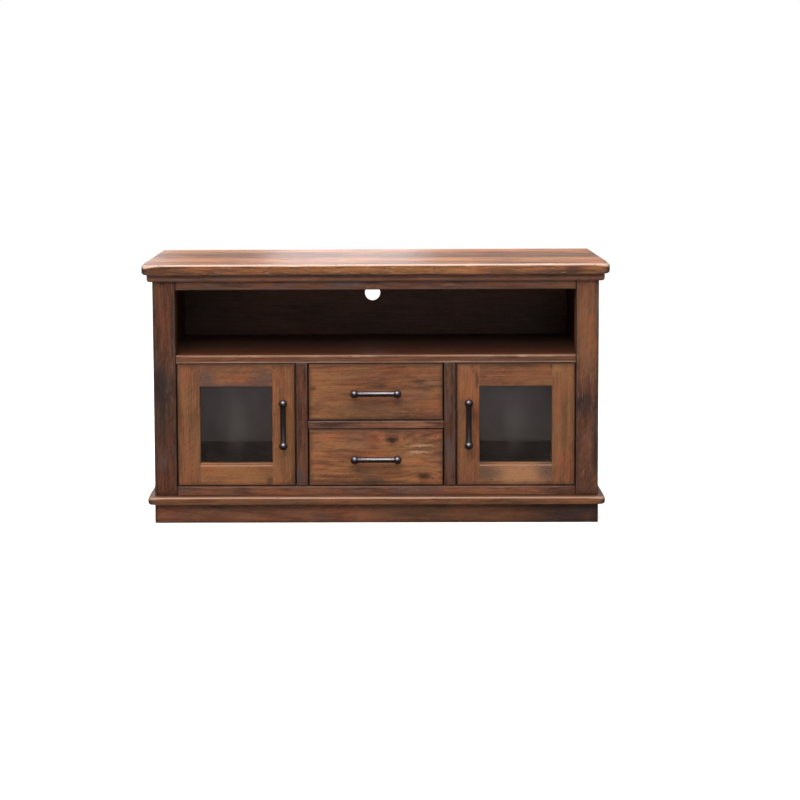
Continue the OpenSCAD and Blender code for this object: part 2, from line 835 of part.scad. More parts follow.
// Four mitred beads behind the glass, flush with the back of the door.
module door_beads(side) {
  lo = [rebate_box[0][0] + joint_clearance, rebate_box[0][2] + joint_clearance];
  hi = [rebate_box[1][0] - joint_clearance, rebate_box[1][2] - joint_clearance];
  outer = [lo, [hi[0], lo[1]], hi, [lo[0], hi[1]]];
  w = rebate_w;
  inner = [lo + [w, w], [hi[0] - w, lo[1] + w], hi - [w, w], [lo[0] + w, hi[1] - w]];
  color(pine_warm) on_side(side) translate([0, depth(front_t), 0]) rotate([90, 0, 0])
    for (i = [0:3]) {
      along = outer[(i + 1) % 4] - outer[i];
      mitre_gap = joint_clearance * along / norm(along);
      linear_extrude(front_t - glass_cover - glass_t)
        polygon([outer[i] + mitre_gap, outer[(i + 1) % 4] - mitre_gap,
                 inner[(i + 1) % 4] - mitre_gap, inner[i] + mitre_gap]);
    }
}

// Half of the grip's outline beside its axis: the bar with a ball at each end.
module grip_outline() {
  translate([0, -handle_centres / 2]) square([handle_bar_d / 2, handle_centres]);
  for (end = [-1, 1]) translate([0, end * handle_centres / 2]) intersection() {
    circle(handle_ball_d / 2);
    translate([0, -handle_ball_d / 2]) square(handle_ball_d);
  }
}

// A bar pull along X: the turned grip on two feet, with its two screws.
module bar_pull() {
  color(iron_dark) {
    difference() {
      union() {
        translate([0, -handle_standoff, 0]) rotate([0, 90, 0]) rotate_extrude() grip_outline();
        for (end = [-1, 1]) translate([end * handle_centres / 2, 0, 0])
          rotate([90, 0, 0]) cylinder(h = handle_standoff, r = handle_foot_d / 2);
      }
      for (end = [-1, 1]) translate([end * handle_centres / 2, past, 0])
        rotate([90, 0, 0]) cylinder(h = past + handle_bore_l, r = handle_screw_d / 2 + joint_clearance);
    }
    for (end = [-1, 1]) translate([end * handle_centres / 2, front_t, 0])
      rotate([90, 0, 0]) screw(handle_screw_d, front_t + handle_bore_l - handle_bore_room);
  }
}

module handle_screw_holes() {
  for (side = [-1, 1]) translate([side * handle_centres / 2, -past, 0]) rotate([-90, 0, 0])
    cylinder(h = front_t + 2 * past, r = handle_screw_d / 2 + handle_screw_clearance);
}

module door_handle(side) {
  on_side(side) at_door_handle() bar_pull();
}

module door_fittings(side) {
  strike_top = door_z1 - strike_drop;
  color(steel) on_side(side) {
    at_door_bushes() pivot_bush();
    block([catch_x - strike_l / 2, front_t, strike_top - strike_h],
          [catch_x + strike_l / 2, front_t + strike_t, strike_top]);
  }
}

// Tails of one corner, in depth and z, grown by the clearance for their sockets.
module tail_outlines(grow) {
  root = front_t;
  tip = dovetail_lap;
  tip_half = (tail_pitch - pin_w) / 2 + grow;
  root_half = tip_half - (root - tip) / dovetail_slope;
  for (i = [0:dovetails - 1]) translate([0, (i + 0.5) * tail_pitch])
    polygon([[tip - grow, -tip_half], [root + eps, -root_half], [root + eps, root_half],
             [tip - grow, tip_half]]);
}

module drawer_front(z0) {
  socket_in = drawer_inner - joint_clearance;
  color(pine_warm) translate([0, 0, z0]) difference() {
    bevelled_board(-drawer_half_w, drawer_half_w, 0, drawer_h, front_t);
    both_sides() pull_along_x(socket_in, drawer_half_w + past) tail_outlines(joint_clearance);
    block([-socket_in, front_t - groove_d, drawer_bottom_up - joint_clearance],
          [socket_in, front_t + past, drawer_bottom_up - joint_clearance + bottom_slot_h]);
    translate([0, face_y, drawer_h / 2]) handle_screw_holes();
  }
}

module drawer_sides(z0) {
  slot_out = drawer_inner + drawer_side_t / 2;
  color(pine_plain) translate([0, 0, z0]) both_sides() difference() {
    union() {
      block([drawer_inner, front_t, 0], [drawer_half_w, drawer_l, drawer_h]);
      pull_along_x(drawer_inner, drawer_half_w) tail_outlines(0);
    }
    block([drawer_inner - past, 0, drawer_bottom_up - joint_clearance],
          [slot_out, drawer_l + past, drawer_bottom_up - joint_clearance + bottom_slot_h]);
    block([drawer_inner - past, drawer_back_y - joint_clearance, drawer_bottom_up],
          [slot_out, drawer_back_y + drawer_back_t + joint_clearance, drawer_h + past]);
  }
}

module drawer_back(z0) {
  reach = drawer_inner + drawer_side_t / 2 - joint_clearance;
  color(pine_plain) translate([0, 0, z0])
    block([-reach, drawer_back_y, drawer_bottom_up + drawer_bottom_t],
          [reach, drawer_back_y + drawer_back_t, drawer_h - drawer_back_drop]);
}

module drawer_bottom(z0) {
  reach = drawer_inner + drawer_side_t / 2 - joint_clearance;
  color(pine_plain) translate([0, 0, z0])
    block([-reach, front_t, drawer_bottom_up],
          [reach, drawer_back_y + drawer_back_t, drawer_bottom_up + drawer_bottom_t]);
  color(pine_plain) translate([0, 0, z0])
    block([joint_clearance - drawer_inner, front_t - groove_d + joint_clearance, drawer_bottom_up],
          [drawer_inner - joint_clearance, front_t, drawer_bottom_up + drawer_bottom_t]);
}

module drawer_handle(z0) {
  translate([0, face_y, z0 + drawer_h / 2]) bar_pull();
}

top_board();
cornice_front();
cornice_returns();
front_post(-1);  // front_post_left
front_post(1);  // front_post_right
rear_post(-1);  // rear_post_left
rear_post(1);  // rear_post_right
side_rails(-1);  // side_rails_left
side_rails(1);  // side_rails_right
side_panel(-1);  // side_panel_left
side_panel(1);  // side_panel_right
top_rail();
bottom_rail();
mid_rail();
centre_stile(-1);  // centre_stile_left
centre_stile(1);  // centre_stile_right
fixed_shelf();
floor_panel();
panel_bearers();
back_battens();
partition(-1);  // partition_left
partition(1);  // partition_right
back_panel_upper();
back_panel_lower();
rear_top_rail();
rear_bottom_rail();
top_bearers();
top_screws();
base_board();
plinth_front();
plinth_returns();
plinth_back();
plinth_blocks();
drawer_runners();
drawer_guides();
drawer_stops();
door_pivots();
door_catches();
door_stiles(-1);  // door_left_stiles
door_rails(-1);  // door_left_rails
door_glass(-1);  // door_left_glass
door_beads(-1);  // door_left_beads
door_handle(-1);  // door_left_handle
door_fittings(-1);  // door_left_fittings
door_stiles(1);  // door_right_stiles
door_rails(1);  // door_right_rails
door_glass(1);  // door_right_glass
door_beads(1);  // door_right_beads
door_handle(1);  // door_right_handle
door_fittings(1);  // door_right_fittings
drawer_front(drawer_z[1]);  // drawer_upper_front
drawer_sides(drawer_z[1]);  // drawer_upper_sides
drawer_back(drawer_z[1]);  // drawer_upper_back
drawer_bottom(drawer_z[1]);  // drawer_upper_bottom
drawer_handle(drawer_z[1]);  // drawer_upper_handle
drawer_front(drawer_z[0]);  // drawer_lower_front
drawer_sides(drawer_z[0]);  // drawer_lower_sides
drawer_back(drawer_z[0]);  // drawer_lower_back
drawer_bottom(drawer_z[0]);  // drawer_lower_bottom
drawer_handle(drawer_z[0]);  // drawer_lower_handle
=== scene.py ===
"""Looks of the rustic tv unit: its stained pine, glass, iron handles, light and camera.

The CAD nodes give every place and size. Boards that show are worked out here as surfaces with
soft, unevenly worn arrises, and the other nodes keep their CAD shape and get a finish.
Lengths are metres, X runs to the right, Y from the front to the back and Z up.
"""

import functools
import math

import bmesh
import bpy
import numpy as np
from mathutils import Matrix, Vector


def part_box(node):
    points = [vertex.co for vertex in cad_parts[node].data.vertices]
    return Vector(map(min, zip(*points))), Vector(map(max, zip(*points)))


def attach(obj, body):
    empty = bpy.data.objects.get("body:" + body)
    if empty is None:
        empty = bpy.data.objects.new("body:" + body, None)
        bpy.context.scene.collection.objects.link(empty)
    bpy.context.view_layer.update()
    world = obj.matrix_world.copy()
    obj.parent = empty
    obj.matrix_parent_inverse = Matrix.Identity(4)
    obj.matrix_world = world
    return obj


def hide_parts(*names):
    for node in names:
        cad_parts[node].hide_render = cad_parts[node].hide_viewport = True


bl_info = {
    "name": "Rustic tv unit",
    "version": (1, 0, 0),
    "blender": (4, 5, 0),
    "location": "3D View > Sidebar > Tv unit",
    "description": "Dresses the packed tv unit in stained pine, glass and iron",
    "category": "Object",
}

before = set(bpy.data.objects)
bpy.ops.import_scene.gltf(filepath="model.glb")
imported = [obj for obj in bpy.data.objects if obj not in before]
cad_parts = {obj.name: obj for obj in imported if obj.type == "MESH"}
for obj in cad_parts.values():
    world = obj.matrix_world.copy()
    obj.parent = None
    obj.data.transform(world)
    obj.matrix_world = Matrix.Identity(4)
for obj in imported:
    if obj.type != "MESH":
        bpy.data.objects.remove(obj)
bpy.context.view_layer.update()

X, Y, Z = np.eye(3)
MM = 0.001


# Colours


def linear(colour):
    """The linear RGBA value of an sRGB hex colour, by the sRGB transfer curve."""
    channels = [int(colour[i : i + 2], 16) / 255 for i in (0, 2, 4)]
    return [c / 12.92 if c <= 0.04045 else ((c + 0.055) / 1.055) ** 2.4 for c in channels] + [1.0]


def tint(prop):
    """A colour property's value with an alpha of one."""
    return [*prop, 1.0]


# Places that the CAD gives


def corners(node):
    """Lowest and highest corner of a CAD node, as arrays."""
    lo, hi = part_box(node)
    return np.array(lo), np.array(hi)


# Surfaces


def wander(places, seed):
    """A smooth random value from 0 to 1 along a line: a sum of cosines whose wavelengths halve."""
    rng = np.random.default_rng(seed)
    longest = 0.7
    total = np.zeros_like(places)
    weight = 0.0
    for k in range(5):
        share = 0.75**k
        total += share * np.cos(2 * np.pi * places * 2**k / longest + rng.uniform(0, 2 * np.pi))
        weight += share
    return 0.5 + 0.5 * total / weight


def dents(places, seed, spacing=0.3, width=6 * MM):
    """Knocks along an arris: narrow bell curves at random places, one for each spacing on average."""
    rng = np.random.default_rng(seed)
    lo, hi = places.min(), places.max()
    count = max(1, int((hi - lo) / spacing))
    at = rng.uniform(lo, hi, count)
    size = rng.uniform(0.3, 1.0, count)
    spread = width * rng.uniform(0.7, 2.5, count)
    return (size * np.exp(-(((places[..., None] - at) / spread) ** 2))).sum(-1)


def grid_faces(rows, columns):
    """Quads of a grid of points whose columns close on themselves, by the points' numbers."""
    row, column = np.meshgrid(np.arange(rows - 1), np.arange(columns), indexing="ij")
    beside = (column + 1) % columns
    quads = [row * columns + column, row * columns + beside]
    quads += [(row + 1) * columns + beside, (row + 1) * columns + column]
    return np.stack(quads, -1).reshape(-1, 4)


def closed_shell(points, wear):
    """A closed surface from rings of points (rings, around, 3): quads between the rings and a flat
    cap at each end. The faces are turned over if the volume that they enclose comes out negative."""
    rings, around, _ = points.shape
    faces = grid_faces(rings, around).tolist()
    faces.append(list(range(around))[::-1])
    faces.append(list(range((rings - 1) * around, rings * around)))
    flat = points.reshape(-1, 3)
    quads = flat[np.array(faces[:-2])]
    centre = flat.mean(0)
    a, b, c, d = (quads[:, i] - centre for i in range(4))
    volume = (np.cross(a, b) * c).sum() + (np.cross(a, c) * d).sum()
    for cap in (points[0, ::-1], points[-1]):
        fan = cap - centre
        volume += (np.cross(fan[0], fan[1:-1]) * fan[2:]).sum()
    if volume < 0:
        faces = [face[::-1] for face in faces]
    return flat, faces, wear.reshape(-1)


ARC = 5  # faces across an arris
LIP = 3.5 * MM  # width of the first flat face beside an arris
STEP = 20 * MM  # length of a board's faces
WELD = 0.002 * MM  # points closer than this become one


def outline_frame(outline):
    """For each corner of an outline that runs anticlockwise: the corner, the shifts that its points
    take for one unit of lip and one unit of radius, and their outward normals. A corner has ARC + 1
    points on its arc and one on each side of the arc, a lip further along the edge."""
    outline = np.asarray(outline, float)
    arriving = outline - np.roll(outline, 1, 0)
    arriving /= np.linalg.norm(arriving, axis=1)[:, None]
    leaving = np.roll(arriving, -1, 0)
    out_before = np.stack([arriving[:, 1], -arriving[:, 0]], 1)
    out_after = np.stack([leaving[:, 1], -leaving[:, 0]], 1)
    start = np.arctan2(out_before[:, 1], out_before[:, 0])
    turn = np.arctan2(arriving[:, 0] * leaving[:, 1] - arriving[:, 1] * leaving[:, 0],
                      (arriving * leaving).sum(1))
    angle = start[:, None] + turn[:, None] * np.linspace(0, 1, ARC + 1)
    arc_normals = np.stack([np.cos(angle), np.sin(angle)], -1)
    along_cos = (out_before * out_after).sum(1)
    inward = -(out_before + out_after) / (1 + along_cos)[:, None]
    arc_in = np.repeat(inward[:, None], ARC + 1, 1)
    per_lip = np.concatenate([-arriving[:, None], 0 * arc_in, leaving[:, None]], 1)
    per_radius = np.concatenate([(-arriving - out_before)[:, None], arc_in,
                                 (leaving - out_after)[:, None]], 1)
    normals = np.concatenate([out_before[:, None], arc_normals, out_after[:, None]], 1)
    return outline[:, None], per_lip, per_radius, normals


def carried_outline(outline, radii, start, end, origin, axes, seed, wear=0.0, mitres=(0, 0),
                    ease_ends=True):
    """An outline with rounded corners carried along a straight line.

    At a place s and an angle a round a corner, the point is
        corner + lip * along the edge + r(s) * shift + rho(s) * normal(a),
    where r is the corner's radius, grown by wear times a random wander and dents, and rho is r.
    Over the last e of the length, at e (1 - cos(phi)) from the end, rho is less by
    e (1 - sin(phi)), so that the ends are rounded too.
    A mitre moves an end by its share of the outline's first coordinate. The flat ends close over
    one point inside each corner, on its diagonal."""
    corner, per_lip, per_radius, normals = outline_frame(outline)
    count, around = normals.shape[:2]
    radii = np.broadcast_to(np.asarray(radii, float), (count,))
    length = end - start
    sides = np.linalg.norm(outline - np.roll(outline, 1, 0), axis=1)
    lip = min(LIP, 0.2 * sides.min())
    end_r = min(radii.max(), 0.3 * sides.min()) if ease_ends else 0.0
    phi = np.linspace(0, np.pi / 2, ARC + 1 if ease_ends else 1)
    rounded, lost = end_r * (1 - np.cos(phi)), end_r * (1 - np.sin(phi))
    middle = np.linspace(end_r, length - end_r, max(3, int(length / STEP)) + 1)[1:-1]
    place = np.concatenate([rounded, middle, length - rounded[::-1]])
    cut = np.concatenate([lost, 0 * middle, lost[::-1]])
    grown = np.ones((len(place), count))
    if wear:
        fade = np.clip(np.minimum(place, length - place) / (10 * MM), 0, 1)
        for k in range(count):
            uneven = wander(start + place, seed * 31 + k) ** 2
            uneven += 0.8 * dents(start + place, seed * 57 + k)
            grown[:, k] += wear * uneven * fade
    r = radii * grown
    base = corner[None] + lip * per_lip[None] + r[:, :, None, None] * per_radius[None]
    points = base + (r - cut[:, None])[:, :, None, None] * normals[None]
    inset = np.minimum(0.3 * radii + end_r + MM, 0.4 * sides.min())
    cap = (corner + inset[:, None, None] * per_radius[:, 1:2] + 0 * normals)[None]
    points = np.concatenate([cap, points, cap]).reshape(len(place) + 2, -1, 2)
    share = np.concatenate([place[:1], place, place[-1:]]) / length
    first, second = points[..., 0], points[..., 1]
    lo, hi = start + mitres[0] * first, end + mitres[1] * first
    run = lo + share[:, None] * (hi - lo)
    solid = origin + first[..., None] * axes[0] + second[..., None] * axes[1] + run[..., None] * axes[2]
    rubbed = np.zeros((count, around))
    rubbed[:, 1:-1] = (radii > 0.5 * MM)[:, None]
    rubbed = rubbed[None] * np.clip(0.45 + 0.55 * (grown[..., None] - 1) / max(wear, 1e-6), 0, 1)
    rubbed = np.concatenate([0 * rubbed[:1], rubbed, 0 * rubbed[-1:]]).reshape(len(run), -1)
    return closed_shell(solid, rubbed)


def board(lo, hi, along, seed, ease, wear):
    """A rectangular board between two corners, carried along one axis, with eased arrises."""
    a, b = (i for i in range(3) if i != along)
    outline = [(lo[a], lo[b]), (hi[a], lo[b]), (hi[a], hi[b]), (lo[a], hi[b])]
    axes = [np.eye(3)[a], np.eye(3)[b], np.eye(3)[along]]
    return carried_outline(outline, ease, lo[along], hi[along], np.zeros(3), axes, seed, wear)


def slab(lo, hi, edge_radii, corner_r, seed, wear, knocked):
    """A moulded board, as rings of its plan from the bottom to the top.

    A point of the plan's outline O(u), with outward normal n(u), is at O - r n + r cos(phi) n,
    and its height is r (1 - sin(phi)) above the bottom or below the top. The radius r grows by
    the share knocked at the two front corners, as a bell curve along the outline.
    The normal has no part towards the back, so the back edge stays square."""
    quarter = np.linspace(0, np.pi / 2, 13)
    side = np.arange(0, hi[1] - lo[1] - corner_r, STEP)
    front = np.linspace(hi[0] - corner_r, lo[0] + corner_r, int((hi[0] - lo[0]) / STEP))
    right_edge = np.stack([0 * side + hi[0], hi[1] - side], 1)
    right_arc = np.stack([hi[0] - corner_r + corner_r * np.cos(quarter),
                          lo[1] + corner_r - corner_r * np.sin(quarter)], 1)
    front_edge = np.stack([front[1:-1], 0 * front[1:-1] + lo[1]], 1)
    half = np.concatenate([right_edge, right_arc])
    half_out = np.concatenate([np.tile([1.0, 0.0], (len(side), 1)),
                               np.stack([np.cos(quarter), -np.sin(quarter)], 1)])
    flip = np.array([-1.0, 1.0])
    middle = np.array([(lo[0] + hi[0]), 0.0])
    plan = np.concatenate([half, front_edge, half[::-1] * flip + middle])
    out = np.concatenate([half_out, np.tile([0.0, -1.0], (len(front_edge), 1)), half_out[::-1] * flip])
    run = np.concatenate([[0], np.cumsum(np.linalg.norm(np.diff(plan, axis=0), axis=1))])
    turn = run[len(side) + len(quarter) // 2]
    off_corner = np.minimum(abs(run - turn), abs(run - (run[-1] - turn)))
    phi = np.linspace(0, np.pi / 2, 2 * ARC + 1)
    knock = 28 * MM
    rings, rubbed = [], []
    for level, sign, edge_r in ((lo[2], 1, edge_radii[0]), (hi[2], -1, edge_radii[1])):
        uneven = wander(run, seed + sign) ** 2 + dents(run, seed + 7 * sign, spacing=0.25, width=8 * MM)
        r = edge_r * (1 + wear * uneven) * (1 + knocked * np.exp(-((off_corner / knock) ** 2)))
        r = np.minimum(r, 0.49 * (hi[2] - lo[2]))
        reach = np.concatenate([[-0.5], np.cos(phi[::-1])])
        rise = np.concatenate([[0], 1 - np.sin(phi[::-1])])
        flat = plan + (r * (reach[:, None] - 1))[..., None] * out
        height = level + sign * r * rise[:, None]
        ring = np.concatenate([flat, height[..., None]], -1)
        # How far each arris is lightened: fully on the top arris and a tenth on the bottom one. This is
        # wear, plus a painted highlight on the top arris, which faces the light.
        rub = np.clip(1.4 * np.sin(np.pi * np.clip(rise, 0, 1)), 0, 1)
        rub = rub[:, None] * (0.7 + 0.3 * (r / r.max())) * (0.1 if sign > 0 else 1.0)
        rings.append(ring[::sign])
        rubbed.append(rub[::sign])
    return closed_shell(np.concatenate(rings), np.concatenate(rubbed))


def turned(outline, origin, axis, around=40):
    """A surface of revolution: origin + h axis + r (cos(t) e1 + sin(t) e2) for each (h, r)."""
    outline = np.asarray(outline, float)
    e1 = np.cross(axis, Y if abs(axis[1]) < 0.5 else Z)
    e2 = np.cross(axis, e1)
    t = np.linspace(0, 2 * np.pi, around, endpoint=False)
    ring = np.cos(t)[:, None] * e1 + np.sin(t)[:, None] * e2
    points = origin + outline[:, :1, None] * axis + outline[:, 1:, None] * ring[None]
    return closed_shell(points, np.zeros(points.shape[:2]))


def piece(name, shells, body, finish, replaced):
    """One mesh object from closed shells. It rides on a CAD body and stands for CAD nodes."""
    points, faces, wear, first = [], [], [], 0
    for flat, shell_faces, rubbed in shells:
        points.append(flat)
        wear.append(rubbed)
        faces += [[first + i for i in face] for face in shell_faces]
        first += len(flat)
    mesh = bpy.data.meshes.new(name)
    mesh.from_pydata(np.concatenate(points).tolist(), [], faces)
    worn = mesh.attributes.new("wear", "FLOAT", "POINT")
    worn.data.foreach_set("value", np.concatenate(wear).astype(np.float32))
    welded = bmesh.new()
    welded.from_mesh(mesh)
    bmesh.ops.remove_doubles(welded, verts=welded.verts, dist=WELD)
    bmesh.ops.dissolve_degenerate(welded, edges=welded.edges, dist=WELD)
    welded.to_mesh(mesh)
    welded.free()
    mesh.polygons.foreach_set("use_smooth", [True] * len(mesh.polygons))
    mesh.set_sharp_from_angle(angle=math.radians(50))
    mesh.validate()
    made = bpy.data.objects.new(name, mesh)
    bpy.context.scene.collection.objects.link(made)
    mesh.materials.append(finish)
    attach(made, body)
    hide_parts(*replaced)


def dress(node, finish):
    """Gives a CAD node its finish and leaves its mesh alone."""
    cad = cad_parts[node]
    cad.data.materials.clear()
    cad.data.materials.append(finish)


# Finishes


def add_node(tree, kind, *values, ramp=None, out=0, **settings):
    """Adds a shader node with its settings and links, and gives one of its outputs, or all of them.

    The values are its inputs in their order, or one dict of inputs by name or number. Each is a
    plain value or another node's output, and None leaves an input alone. A ramp is (place, colour)
    pairs."""
    made = tree.nodes.new("ShaderNode" + kind)
    for key, value in settings.items():
        setattr(made, key, value)
    by_name = len(values) == 1 and isinstance(values[0], dict)
    for key, value in values[0].items() if by_name else enumerate(values):
        if isinstance(value, bpy.types.NodeSocket):
            tree.links.new(value, made.inputs[key])
        elif value is not None:
            made.inputs[key].default_value = value
    if ramp:
        stops = made.color_ramp.elements
        while len(stops) < len(ramp):
            stops.new(0.5)
        for stop, (place, colour) in zip(stops, ramp):
            stop.position = place
            stop.color = colour if hasattr(colour, "__len__") else (colour, colour, colour, 1)
    return made.outputs if out is None else made.outputs[out]


def blank_finish(name):
    """An empty material, and add_node for its tree."""
    finish = bpy.data.materials.new(name)
    finish.use_nodes = True
    finish.node_tree.nodes.clear()
    return finish, functools.partial(add_node, finish.node_tree)


# Which of X, Y and Z runs along the grain, into the board and across it.
GRAIN = {"x": (0, 1, 2), "y": (1, 0, 2), "z": (2, 1, 0)}

# Noise patterns of stained pine: width and length of a feature in mm, detail and distortion.
PATTERNS = {
    "bend": (150, 650, 2.0, 0.0),  # slow bends of the log, which shift its rings by up to 20 mm
    "wave": (22, 300, 2.0, 0.0),  # smaller bends of a ring
    "streak": (12, 210, 3.0, 0.7),  # broad streaks where the stain sank in
    "cloud": (75, 210, 3.0, 0.6),  # slow changes of tone
    "hue": (50, 160, 2.0, 0.5),  # redder and browner wood
    "fibre": (2.2, 55, 3.0, 0.2),  # pores and scraper marks, whose real width is 0.3 mm
    "blotch": (60, 170, 4.0, 0.8),  # grey patches where the stain was wiped thin
    "ragged": (16, 45, 3.0, 0.0),  # uneven width of the wear and the darkening along the arrises
    "scratch": (1.4, 42, 1.0, 0.2),  # light scratches, whose real width is 0.4 mm
    "nick": (4.5, 7, 1.0, 0.3),  # small dark nicks
}

# Tones of the single marks in the boards.
MARKS = {name: linear(tone) for name, tone in {
    "grey": "463f42", "dark": "24150f", "knot": "1f130f", "red": "7b3d26", "olive": "463820",
    "pale": "b98d6c", "slate": "2f2628", "gold": "a8713f", "ash": "796c63", "russet": "4d1f08",
    "crack": "110a08"}.items()}
MARK_WARP = 14 * MM
THROUGH = 9  # a mark's reach along an axis that it runs right through, in metres


def face_marks(*marks):
    """Marks on the unit's front face, each a tone, X, Z, a reach along X, along Z and a strength."""
    face = corners("front_post_right")[0][1]
    return [(tone, (x, face, z), (wide, THROUGH, high), strength)
            for tone, x, z, wide, high, strength in marks]


def rim_of(lo, hi, axis=None, width=0.0):
    """The fold, middle and half size of a board, by which stained_pine knows its arrises. Two like
    boards of one node, at both ends of an axis and a width wide, are folded onto each other. A
    single board's fold lies 10 m away, where it changes nothing."""
    fold, middle, half = np.full(3, -10.0), (lo + hi) / 2 + 10.0, (hi - lo) / 2
    if axis is not None:
        fold[axis], middle[axis], half[axis] = (lo + hi)[axis] / 2, half[axis] - width / 2, width / 2
    return fold.tolist(), middle.tolist(), half.tolist()


def plank_jump(node, planks, places):
    """A random number for each plank of a glued-up board. The planks are counted along one of a
    point's places, by their width, from an offset."""
    which, width, offset = planks
    number = node("Math", places[which], -offset, operation="ADD")
    number = node("Math", node("Math", number, width, operation="DIVIDE"), operation="FLOOR")
    return node("TexWhiteNoise", {"W": number}, noise_dimensions="1D")


def board_patterns(node, sawn):
    """The noise patterns of a board, by name, at its places along, into and across the grain."""
    look = {}
    for key, (wide, long, detail, distortion) in PATTERNS.items():
        scaled = node("VectorMath", sawn, (1 / (long * MM), 1 / (wide * MM), 1 / (wide * MM)),
                      operation="MULTIPLY")
        look[key] = node("TexNoise", {"Vector": scaled, "Scale": 1.0, "Detail": detail,
                                      "Roughness": 0.6, "Distortion": distortion})
    # Scraper marks 5 mm wide and 36 mm long run askew over the grain.
    askew = node("VectorRotate", {"Vector": sawn, "Axis": (0, 1, 0), "Angle": math.radians(40)})
    askew = node("VectorMath", askew, (1 / (36 * MM), 1 / (36 * MM), 1 / (5 * MM)), operation="MULTIPLY")
    look["skew"] = node("TexNoise", {"Vector": askew, "Scale": 1.0, "Detail": 3.0, "Distortion": 1.2})
    return look


def pith_distance(node, look, along, deep, across, jump, pith):
    """How far a point is from the pith line, which leans by 30 mm in a metre and bends with the
    log. Each plank of a glued-up board has a pith of its own."""
    lean, bend, apart = 0.03, 50 * MM, 50 * MM
    down = node("Math", along, lean, deep, operation="MULTIPLY_ADD")
    down = node("Math", jump, apart, down, operation="MULTIPLY_ADD")
    over = node("Math", look["bend"], bend, across, operation="MULTIPLY_ADD")
    away = node("VectorMath", node("CombineXYZ", down, over, 0.0), (pith[0], pith[1] + bend / 2, 0.0),
                operation="SUBTRACT")
    return node("VectorMath", away, operation="LENGTH", out=1)


def stained_tone(node, look, gains, light, dark):
    """The tone of the stain. Each pattern moves it between light and dark by its gain, and a slow
    one makes it redder or browner."""
    depth = 0.5
    for key, gain in gains.items():
        depth = node("Math", node("Math", look[key], -0.5, operation="ADD"), gain, depth,
                     operation="MULTIPLY_ADD")
    shades = [(0.05, 1.35 * light), (0.38, light), (0.68, (light + 2 * dark) / 3), (1.0, dark)]
    shade = node("ValToRGB", depth, ramp=[(at, [*colour, 1]) for at, colour in shades])
    hue = node("ValToRGB", look["hue"], ramp=[(0.36, (1.0, 0.84, 0.77, 1)), (0.64, (0.88, 0.94, 0.88, 1))])
    return node("Mix", {0: 1.0, 6: shade, 7: hue}, data_type="RGBA", blend_type="MULTIPLY", out=2)


def mark_spread(node, warped, at, reach):
    """How far a point is from a mark's middle, as a share of the mark's reach."""
    off = node("VectorMath", warped, [a + MARK_WARP / 2 for a in at], operation="SUBTRACT")
    off = node("VectorMath", off, [1 / r for r in reach], operation="MULTIPLY")
    return node("VectorMath", off, operation="LENGTH", out=1)


def arris_distance(node, place, rim):
    """How far a point is from its board's nearest arris: the middle one of its depths along X, Y
    and Z in the board's box."""
    fold, middle, half = rim
    inward = place
    for centre in (fold, middle):
        inward = node("VectorMath", inward, centre, operation="SUBTRACT")
        inward = node("VectorMath", inward, operation="ABSOLUTE")
    a, b, c = node("SeparateXYZ", node("VectorMath", half, inward, operation="SUBTRACT"), out=None)
    near = node("Math", node("Math", a, b, operation="MAXIMUM"), c, operation="MINIMUM")
    return node("Math", node("Math", a, b, operation="MINIMUM"), near, operation="MAXIMUM")


def bare_and_highlight_share(node, look, height, near, bare, sill):
    """How far the wood is lightened: worn bare on its arrises and up to 4 mm beside them, which also
    paints their highlights, a painted highlight along the sill under the glass, and light scratches."""
    bare_and_highlight = node("Math", node("Attribute", attribute_name="wear", out=2), bare, operation="MULTIPLY")
    if near is not None:
        far = node("Math", look["ragged"], 4 * MM, operation="MULTIPLY")
        bare_and_highlight = node("Math", bare_and_highlight, node("MapRange", near, 0.0, far, bare, 0.0), operation="MAXIMUM")
    # Painted highlight: a light line along the sill, where the ledge in front of the pane catches the
    # light.
    if sill:
        off = node("Math", node("Math", height, -sill, operation="ADD"), operation="ABSOLUTE")
        rubbed = node("MapRange", off, 1.0 * MM, 3.0 * MM, 0.7, 0.0)
        bare_and_highlight = node("Math", bare_and_highlight, rubbed, operation="MAXIMUM")
    scratch = node("MapRange", look["scratch"], 0.66, 0.72, 0.0, 0.5)
    patch = node("MapRange", look["cloud"], 0.48, 0.6, 0.0, 1.0)
    return node("Math", scratch, patch, bare_and_highlight, operation="MULTIPLY_ADD", use_clamp=True)


